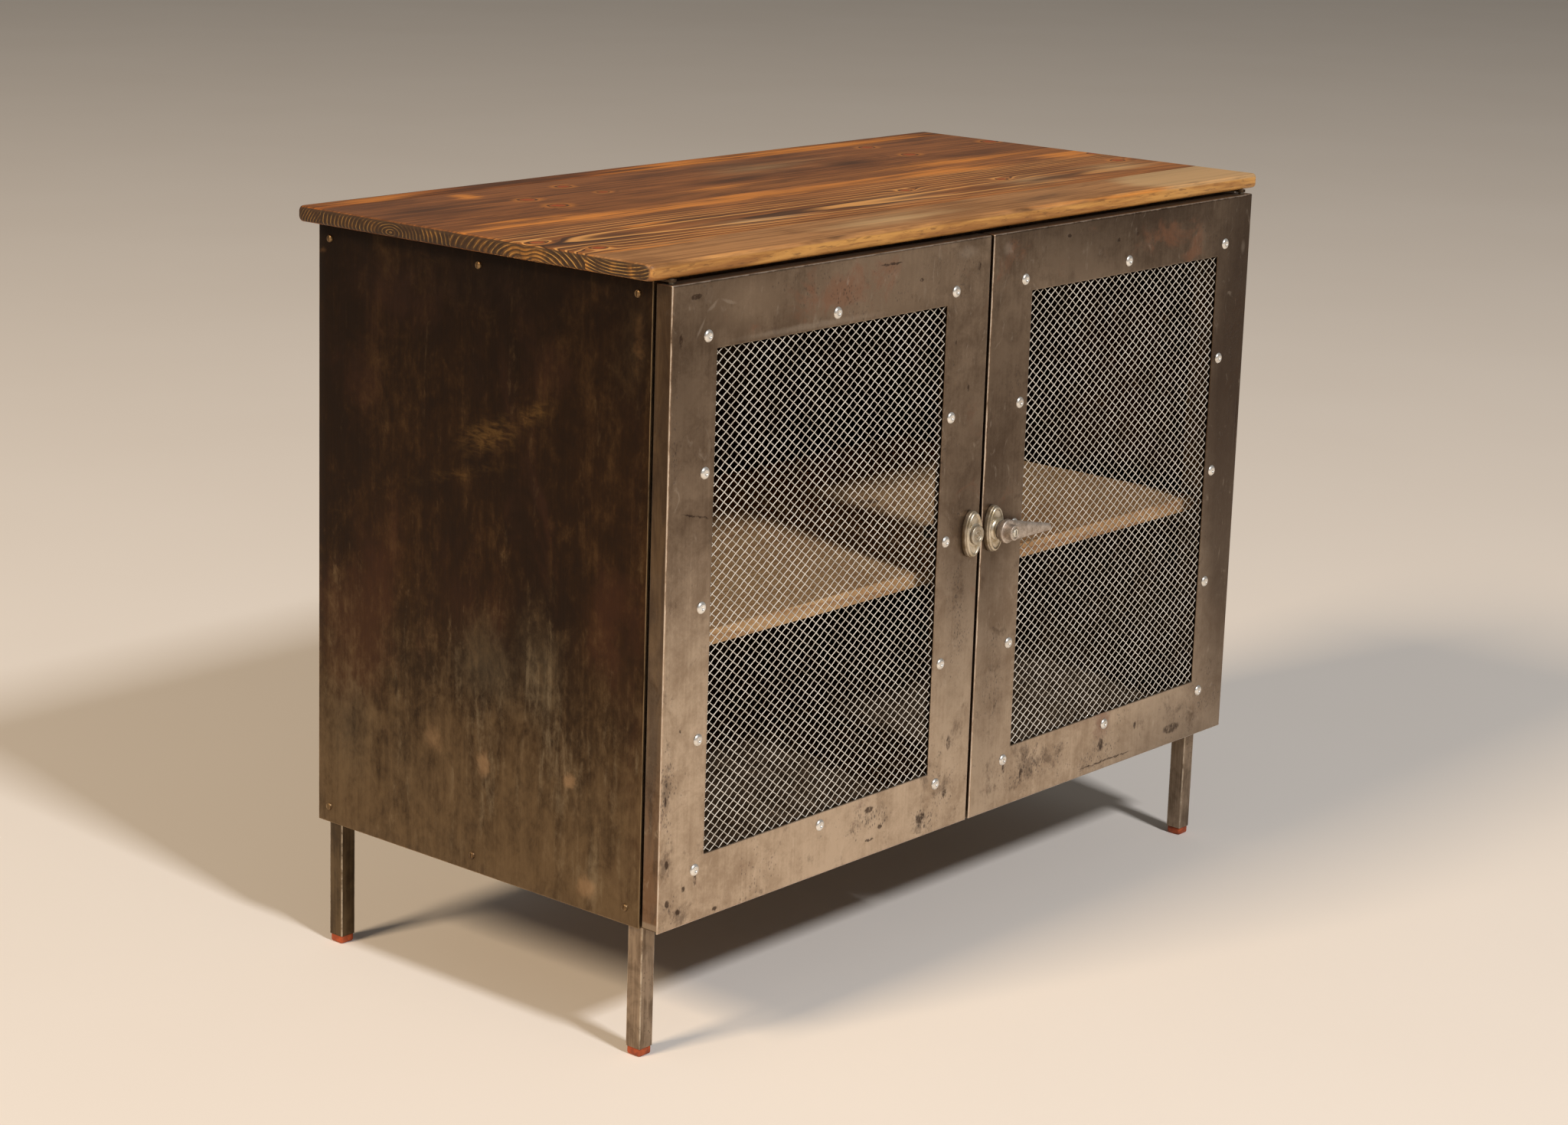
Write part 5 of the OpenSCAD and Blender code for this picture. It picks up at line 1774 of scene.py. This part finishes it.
    def _wires(self, word: str, diameter: float, depth: float, slope: int,
               finish: Material) -> Piece:
        """Weaves one family of parallel wires.

        Wire k runs along z = slope * pitch_z / pitch_x * x + k * pitch_z, cut where it
        leaves the mesh's rectangle, and waves in and out by a cosine whose half period is
        the distance between two crossings. A circle of six points is carried along it.

        Args:
            word: Which family it is.
            diameter: Wire diameter.
            depth: Depth of the wires' axes behind the mesh's front.
            slope: 1 for wires that rise to the right, -1 for those that fall.
            finish: The finish.

        Returns:
            The piece.
        """
        half = (self.mesh_high - self.mesh_low)[[0, 2]] / 2.0 - MM
        middle = (self.mesh_high + self.mesh_low)[[0, 2]] / 2.0
        edge = math.hypot(self.pitch_x, self.pitch_z) / 2.0
        run = np.array([self.pitch_x, slope * self.pitch_z]) / (2.0 * edge)
        reach = half[1] + half[0] * self.pitch_z / self.pitch_x
        count = int(reach / self.pitch_z)
        offset = np.arange(-count, count + 1) * self.pitch_z
        across = half[0] / run[0]
        upward = np.sort((np.stack([-half[1] - offset, half[1] - offset]) / run[1]), axis=0)
        start = np.maximum(-across, upward[0])
        end = np.minimum(across, upward[1])
        keep = end - start > 3.0 * MM
        offset, start, end = offset[keep], start[keep], end[keep]
        step = edge / 3.0
        steps = int(across / step) + 1
        t = np.clip(np.arange(-steps, steps + 1) * step, start[:, None], end[:, None])
        wave = 0.22 * MM * np.cos(np.pi * t / edge + np.pi * np.arange(len(offset))[:, None])
        angle = np.linspace(0.0, 2.0 * np.pi, 6, endpoint=False) + np.pi / 6.0
        sideways = np.array([-run[1], run[0]])
        ring_side = np.cos(angle) * diameter / 2.0
        ring_deep = np.sin(angle) * diameter / 2.0
        points = np.empty((*t.shape, len(angle), 3))
        points[..., 0] = middle[0] + (t * run[0])[..., None] + ring_side * sideways[0]
        points[..., 2] = (middle[1] + (t * run[1] + offset[:, None])[..., None]
                          + ring_side * sideways[1])
        points[..., 1] = self.mesh_low[1] + depth + wave[..., None] + ring_deep
        mesh = self._tubes_mesh(points, np.diff(t, axis=1) > 1e-7)
        return link_piece(f"{self.side.word}_door_wires_{word}", mesh, finish, smooth=80.0)

    @staticmethod
    def _tubes_mesh(points: Array, alive: Array) -> bpy.types.Mesh:
        """Joins rings into closed tubes where a step along a wire has any length.

        Args:
            points: Wires by steps by ring points by three coordinates.
            alive: Wires by steps, true where the step isn't cut off.

        Returns:
            The mesh.
        """
        wires, stations, around = points.shape[:3]
        index = np.arange(wires * stations * around).reshape(wires, stations, around)
        wrapped = np.concatenate([index, index[:, :, :1]], axis=2)
        quads = np.stack([wrapped[:, :-1, :-1], wrapped[:, 1:, :-1], wrapped[:, 1:, 1:],
                          wrapped[:, :-1, 1:]], -1)[alive].reshape(-1, 4)
        first = alive.argmax(axis=1)
        last = stations - 1 - alive[:, ::-1].argmax(axis=1)
        row = np.arange(wires)
        starts, ends = index[row, first], index[row, last][:, ::-1]
        faces = quads.tolist() + starts.tolist() + ends.tolist()
        used = np.zeros(wires * stations * around, dtype=bool)
        used[quads.ravel()] = True
        renumber = np.cumsum(used) - 1
        mesh = bpy.data.meshes.new("wires")
        mesh.from_pydata(points.reshape(-1, 3)[used], [],
                         [renumber[face].tolist() for face in faces])
        return mesh

    def _rivets(self, finish: Material) -> Piece:
        """Turns the twelve rivets: domed head with a dimple, shank and spread tail.

        Args:
            finish: The finish.

        Returns:
            The piece.
        """
        low, high = corners(f"{self.side.word}_door_rivets")
        face, r = self.low[1], self.rivet_head
        retainer = corners(f"{self.side.word}_mesh_retainer")[1][1]
        shape = [(radius * MM, face - self.rivet_height * share) for radius, share in (
            (0.0, 0.42), (1.15, 0.42), (1.35, 0.62), (1.6, 0.62), (2.1, 0.93), (2.7, 1.0),
            (3.5, 0.975), (4.4, 0.88), (5.3, 0.7), (6.0, 0.44), (6.38, 0.2))]
        shape += profile(face, (6.5, -0.2), (6.4, 0.0), (2.4, 0.0))
        shape += profile(retainer, (2.4, 0.0), (3.4, 0.0))
        shape += profile(high[1], (3.3, -0.5), (2.4, 0.0), (0.0, 0.0))
        xs = (low[0] + r, (low[0] + high[0]) / 2.0, high[0] - r)
        zs = np.linspace(low[2] + r, high[2] - r, 5)
        maker = MeshMaker()
        places = [(x, z) for x in (xs[0], xs[2]) for z in zs] + [(xs[1], zs[0]), (xs[1], zs[-1])]
        for x, z in places:
            maker.turn(shape, (x, 0.0, z), around=28)
        return maker.make(f"{self.side.word}_door_rivets_domed", finish, smooth=45.0)


@dataclass
class Handle:
    """What both handle sets share: the oval rose with its barrel, and the latch behind."""

    side: Side
    channel: float = 1.1 * MM
    wall_share: float = 0.62

    def __post_init__(self) -> None:
        """Finds the axis and the rose's size."""
        self.low, self.high = corners(f"{self.side.word}_rose")
        self.face = corners(f"{self.side.word}_door_pan")[0][1]
        self.axis = (self.low + self.high) / 2.0
        self.half = (self.high - self.low) / 2.0

    def rose(self, thick: float, neck: Sequence[tuple[float, float]], finish: Material) -> Piece:
        """Makes the rose: wall, step, raised rim, channel and field, with neck and barrel.

        Args:
            thick: The rose's thickness.
            neck: Radius and distance in front of the door of the neck's profile points.
            finish: The finish.

        Returns:
            The piece.
        """
        rings = [(0.4 * MM, 0.0), (0.05 * MM, 0.4 * MM), (0.0, 1.2 * MM)]
        rings += [(inset * MM, thick * share) for inset, share in (
            (0.0, 0.5), (0.25, 0.58), (0.9, 0.63), (1.1, 0.68), (1.15, 0.76), (1.5, 0.88),
            (2.2, 0.97), (3.0, 1.0), (3.8, 0.98), (4.4, 0.92))]
        rings += [(inset * MM, thick - self.channel * share)
                  for inset, share in ((4.9, 1.0), (6.0, 1.05), (7.5, 0.9))]
        inset, out = np.array(rings).T
        maker = MeshMaker()
        maker.tube(ellipses(self.axis, self.half[0] - inset, self.half[2] - inset,
                            self.face - out, around=72))
        maker.turn(profile(self.face, (0.0, -1.0), (8.0, -1.0))
                   + profile(self.high[1], (8.0, -0.6), (7.4, 0.0), (5.2, 0.0), (5.2, -2.0),
                             (0.0, -2.0)), self.axis)
        maker.turn([(radius, self.face - ahead) for radius, ahead in neck], self.axis, around=64)
        return maker.make(f"{self.side.word}_rose_cast", finish, CAST_CREASE)


@dataclass
class KnobSet(Handle):
    """The left door's round turn knob on its rose, with cam and nut."""

    side: Side = Side.LEFT

    def build(self, plated: Material) -> None:
        """Makes the knob set.

        Args:
            plated: Finish of the latch parts.
        """
        thick = self.face - self.low[1]
        nickel = CastMetal("left_rose_nickel", rgb(216, 204, 182), rgb(176, 158, 126),
                           rgb(108, 84, 56), self.face - thick * self.wall_share)
        neck = profile(thick, (12.6, -2.0), (12.6, -0.5), (12.0, 0.0), (0.0, 0.0))
        dress(self.rose(thick, neck, nickel.build()), "left_rose")
        dress(self._knob(), "turn_knob")
        for node, radius in (("left_rose_ring", 0.3), ("knob_cam", 0.35), ("knob_cam_nut", 0.4)):
            soften(plated, radius * MM, node)

    def _knob(self) -> Piece:
        """Turns the knob: a short drum whose face carries two raised rings and a button."""
        low, high = corners("turn_knob")
        front, back = low[1], self.low[1] - 0.4 * MM
        r = (high[0] - low[0]) / 2.0
        shape = profile(front, (0.0, 0.1), (1.9, 0.15), (2.3, 0.75), (3.3, 0.75), (3.7, 0.15),
                        (4.9, 0.1), (5.3, 0.75), (6.5, 0.75), (7.0, 0.15), (8.6, 0.0))
        shape += arc((r - 1.2 * MM, front + 1.2 * MM), 1.2 * MM, -90.0, 0.0, 6)
        shape += [(r, back - 0.6 * MM), (r - 0.4 * MM, back), (5.0 * MM, back)]
        shape += profile(high[1], (5.0, -0.5), (4.5, 0.0), (0.0, 0.0))
        finish = CastMetal("knob_nickel", rgb(208, 198, 178), rgb(172, 156, 130),
                           rgb(98, 78, 56), front + 0.8 * MM)
        maker = MeshMaker()
        maker.turn(shape, self.axis, around=72)
        return maker.make("turn_knob_turned", finish.build(), CAST_CREASE)


@dataclass
class LeverSet(Handle):
    """The right door's lever with its lock, on a rose with a conical neck."""

    side: Side = Side.RIGHT
    droop: float = math.radians(6.0)
    length: float = 79.5 * MM
    hub_r: float = 13.5 * MM
    end_r: float = 4.5 * MM
    rose_depth: float = 8.5 * MM

    def build(self, plated: Material) -> None:
        """Makes the lever set.

        Args:
            plated: Finish of the latch parts.
        """
        thick = self.rose_depth
        tip = self.face - self.low[1]
        rose = CastMetal("right_rose_nickel", rgb(218, 206, 184), rgb(180, 162, 128),
                         rgb(108, 84, 54), self.face - thick * self.wall_share)
        neck = profile(thick, (12.4, -1.6), (12.5, -0.2), (12.0, 0.9), (10.9, 1.7), (10.3, 2.8))
        neck += profile(tip, (10.5, -1.0), (11.2, -0.4), (11.0, 0.0), (0.0, 0.0))
        dress(self.rose(thick, neck, rose.build()), "right_rose")
        low, _ = corners("lever_handle")
        nickel = CastMetal("lever_nickel", rgb(206, 192, 178), rgb(170, 154, 138),
                           rgb(98, 80, 62), self.face - 16.0 * MM, rough=0.38, speckle=0.6)
        dress(self._lever(low[1], tip, nickel.build()), "lever_handle")
        dress(self._plug(), "lock_plug")
        soften(plated, 0.35 * MM, "right_rose_ring", "lever_spindle", "lever_cam",
               "lever_cam_nut")

    def _lever(self, front: float, tip: float, finish: Material) -> Piece:
        """Makes the lever: waist and hub turned, blade lofted, lock housing turned.

        Args:
            front: Y of the lock housing's face.
            tip: Distance of the neck's end in front of the door.
            finish: The finish.

        Returns:
            The piece.
        """
        back = self.face - tip - 0.4 * MM
        hub_front = self.face - tip - 11.0 * MM
        waist = profile(back, (0.0, 0.0), (10.0, 0.0), (10.5, -0.5), (10.2, -1.6), (9.6, -2.6),
                        (11.2, -3.4), (12.9, -4.4))
        waist += [(self.hub_r, back - 5.6 * MM), (self.hub_r, hub_front + 2.0 * MM)]
        waist += arc((self.hub_r - 1.6 * MM, hub_front + 1.6 * MM), 1.6 * MM, 0.0, -90.0, 5)
        housing = profile(hub_front, (0.0, 0.5), (9.0, 0.5), (9.0, -1.0))
        housing += [(8.7 * MM, front + 2.0 * MM)]
        housing += arc((7.8 * MM, front + 0.9 * MM), 0.9 * MM, 0.0, -90.0, 5)
        housing += profile(front, (6.5, 0.0), (6.15, 0.4), (6.1, 3.0), (0.0, 3.0))
        maker = MeshMaker()
        maker.turn(waist + [(0.0, hub_front)], self.axis, around=64)
        maker.turn(housing, self.axis, around=64)
        maker.tube(self._blade(hub_front))
        return maker.make("lever_handle_cast", finish, CAST_CREASE)

    def _blade(self, hub_front: float) -> Array:
        """Lofts the blade: a flattened oval that narrows towards its round end.

        At a share s of the length the half height falls from the hub's to the end's radius
        and then follows the end's circle. The half depth falls from 3.9 to 2.6 mm. The
        section is a superellipse of power 2.6, and the whole droops about the hub's axis.

        Args:
            hub_front: Y of the hub's face.

        Returns:
            Grid of stations by points round the section.
        """
        body = np.linspace(0.0, self.length, 30)
        cap_angle = np.radians(np.linspace(0.0, 86.0, 12))[1:]
        along = np.concatenate([body, self.length + self.end_r * np.sin(cap_angle)])
        narrowing = np.interp(body, [0.0, self.length], [self.hub_r - 0.6 * MM, self.end_r])
        height = np.concatenate([narrowing, self.end_r * np.cos(cap_angle)])
        share = np.clip(along / self.length, 0.0, 1.0)
        depth = (3.9 - 1.1 * share) * MM * np.minimum(1.0, height / (self.end_r * 0.55))
        middle = hub_front + 4.2 * MM + 0.3 * MM * share
        angle = np.linspace(0.0, 2.0 * np.pi, 40, endpoint=False)
        power = 2.0 / 2.6
        flat_z = np.sign(np.sin(angle)) * np.abs(np.sin(angle)) ** power
        flat_y = np.sign(np.cos(angle)) * np.abs(np.cos(angle)) ** power
        local_z = height[:, None] * flat_z
        points = np.empty((len(along), len(angle), 3))
        points[..., 0] = (self.axis[0] + along[:, None] * math.cos(self.droop)
                          + local_z * math.sin(self.droop))
        points[..., 2] = (self.axis[2] - along[:, None] * math.sin(self.droop)
                          + local_z * math.cos(self.droop))
        points[..., 1] = middle[:, None] + depth[:, None] * flat_y
        return points

    def _plug(self) -> Piece:
        """Makes the lock plug: a stepped round face with a key slot cut into it."""
        low, high = corners("lock_plug")
        front, back, r = low[1], high[1], (high[0] - low[0]) / 2.0
        shape = profile(front, (0.0, 0.0), (4.3, 0.0), (4.6, 0.3), (4.7, 1.3), (5.6, 1.3))
        maker = MeshMaker()
        maker.turn(shape + [(r, front + 1.6 * MM), (r, back), (0.0, back)], self.axis)
        finish = CastMetal("plug_nickel", rgb(236, 230, 216), rgb(190, 178, 156),
                           rgb(60, 46, 34), front + 1.6 * MM, rough=0.22, speckle=0.3)
        plug = maker.make("lock_plug_turned", finish.build(), CAST_CREASE)
        middle, half = self.axis[[0, 2]], np.array([0.8, 3.1]) * MM
        walk = rounded_rect(middle - half, middle + half, 0.4 * MM, steps=3)
        slot = MeshMaker()
        slot.tube(np.stack([np.column_stack([walk[:, 0], np.full(len(walk), y), walk[:, 1]])
                            for y in (front - MM, front + 4.0 * MM)]))
        carve(plug, slot.make("slot_cutter", plug.data.materials[0]))
        return plug


def carve(piece: Piece, cutter: Piece) -> None:
    """Cuts one solid out of another and throws the cutter away.

    Args:
        piece: The piece that is cut.
        cutter: The solid that is taken out.
    """
    cut = piece.modifiers.new("cut", "BOOLEAN")
    cut.operation = "DIFFERENCE"
    cut.solver = "EXACT"
    cut.object = cutter
    graph = bpy.context.evaluated_depsgraph_get()
    mesh = bpy.data.meshes.new_from_object(piece.evaluated_get(graph))
    piece.modifiers.clear()
    piece.data = mesh
    mesh.set_sharp_from_angle(angle=math.radians(CAST_CREASE))
    bpy.data.objects.remove(cutter)


@dataclass(frozen=True)
class Lamp:
    """One square soft lamp that is aimed at the cabinet."""

    name: str
    place: tuple[float, float, float]
    size: float
    level: float
    colour: Rgb

    def build(self, aim: Vector) -> None:
        """Hangs the lamp; its power gives the level at the aim whatever its distance.

        Args:
            aim: The point that it faces.
        """
        data = bpy.data.lights.new(self.name, "AREA")
        data.shape = "SQUARE"
        data.size = self.size
        place = Vector(self.place)
        data.energy = self.level * math.pi ** 2 * (aim - place).length_squared
        data.color = self.colour
        lamp = bpy.data.objects.new(self.name, data)
        lamp.matrix_world = (Matrix.Translation(place)
                             @ (aim - place).to_track_quat("-Z", "Y").to_matrix().to_4x4())
        bpy.context.scene.collection.objects.link(lamp)


@dataclass
class Studio:
    """Camera, floor, lamps and world."""

    eye: tuple[float, float, float] = (-2.8607, -2.3436, 1.3418)
    azimuth: float = math.radians(-48.84)
    elevation: float = math.radians(12.67)
    roll: float = math.radians(1.558)
    lens: float = 75.35
    shift: tuple[float, float] = (0.0472, -0.0617)
    floor_half: float = 22.0
    world_level: float = 0.15

    def build(self) -> None:
        """Makes the camera first, then the floor, the lamps and the world."""
        self._camera()
        self._floor()
        aim = Vector((0.0, -0.1, 0.45))
        for lamp in (
            Lamp("left_lamp", (-10.4, 1.5, 8.4), size=3.0, level=0.72, colour=(1.0, 0.79, 0.56)),
            Lamp("front_lamp", (-1.8, -8.3, 8.05), size=1.3, level=0.7, colour=(0.95, 0.96, 1.0)),
        ):
            lamp.build(aim)
        world = bpy.data.worlds.new("soft_world")
        world.use_nodes = True
        back = world.node_tree.nodes["Background"]
        back.inputs["Color"].default_value = (1.0, 0.97, 0.92, 1.0)
        back.inputs["Strength"].default_value = self.world_level
        bpy.context.scene.world = world
        bpy.context.scene.view_settings.view_transform = "Standard"

    def _camera(self) -> None:
        """Sets the camera at the photograph's angle."""
        back = Vector((math.sin(self.azimuth) * math.cos(self.elevation),
                       -math.cos(self.azimuth) * math.cos(self.elevation),
                       math.sin(self.elevation)))
        right = (-back).cross(Vector((0.0, 0.0, 1.0))).normalized()
        up = right.cross(-back)
        tilted_right = math.cos(self.roll) * right + math.sin(self.roll) * up
        tilted_up = -math.sin(self.roll) * right + math.cos(self.roll) * up
        data = bpy.data.cameras.new("photo_camera")
        data.lens = self.lens
        data.sensor_width = 36.0
        data.shift_x, data.shift_y = self.shift
        data.clip_end = 100.0
        camera = bpy.data.objects.new("photo_camera", data)
        turn = Matrix((tilted_right, tilted_up, back)).transposed().to_4x4()
        camera.matrix_world = Matrix.Translation(Vector(self.eye)) @ turn
        bpy.context.scene.collection.objects.link(camera)
        bpy.context.scene.camera = camera

    def _floor(self) -> None:
        """Lays the floor just under the feet."""
        flat = np.array([[-1, -1], [1, -1], [1, 1], [-1, 1]]) * self.floor_half
        maker = MeshMaker()
        maker.cap(np.column_stack([flat, np.full(4, -0.05 * MM)]))
        maker.make("studio_floor", PaleFloor().build())


def main() -> None:
    """Builds the studio and every sub-assembly."""
    logging.basicConfig(level=logging.INFO, format="%(name)s: %(message)s")
    Studio().build()
    steel = BareSteel("frame_steel", rgb(104, 84, 62), rgb(62, 48, 34)).build()
    plated = BareSteel("latch_steel", rgb(176, 168, 152), rgb(132, 120, 100),
                       (90.0, 90.0, 90.0), 0.85, rough=0.34, depth=0.05 * MM).build()
    screw = BareSteel("screw_steel", rgb(150, 124, 88), rgb(86, 62, 40),
                      (200.0, 200.0, 200.0), 0.85, rough=0.34, depth=0.06 * MM).build()
    WoodenTop().build()
    Carcass().build(steel, plated, screw)
    Legs().build()
    Shelf().build(steel, plated, screw)
    # The thin wires behind get lighter colours than the thick ones in front: painted light that
    # makes up for the highlights that they lack.
    bright = Wire("mesh_wire_bright", rgb(228, 218, 202), rgb(192, 180, 162)).build()
    dull = Wire("mesh_wire_dull", rgb(234, 226, 212), rgb(200, 190, 174)).build()
    for side in Side:
        Door(side).build(steel, plated, bright, dull)
    KnobSet().build(plated)
    LeverSet().build(plated)


if __name__ == "__main__":
    main()
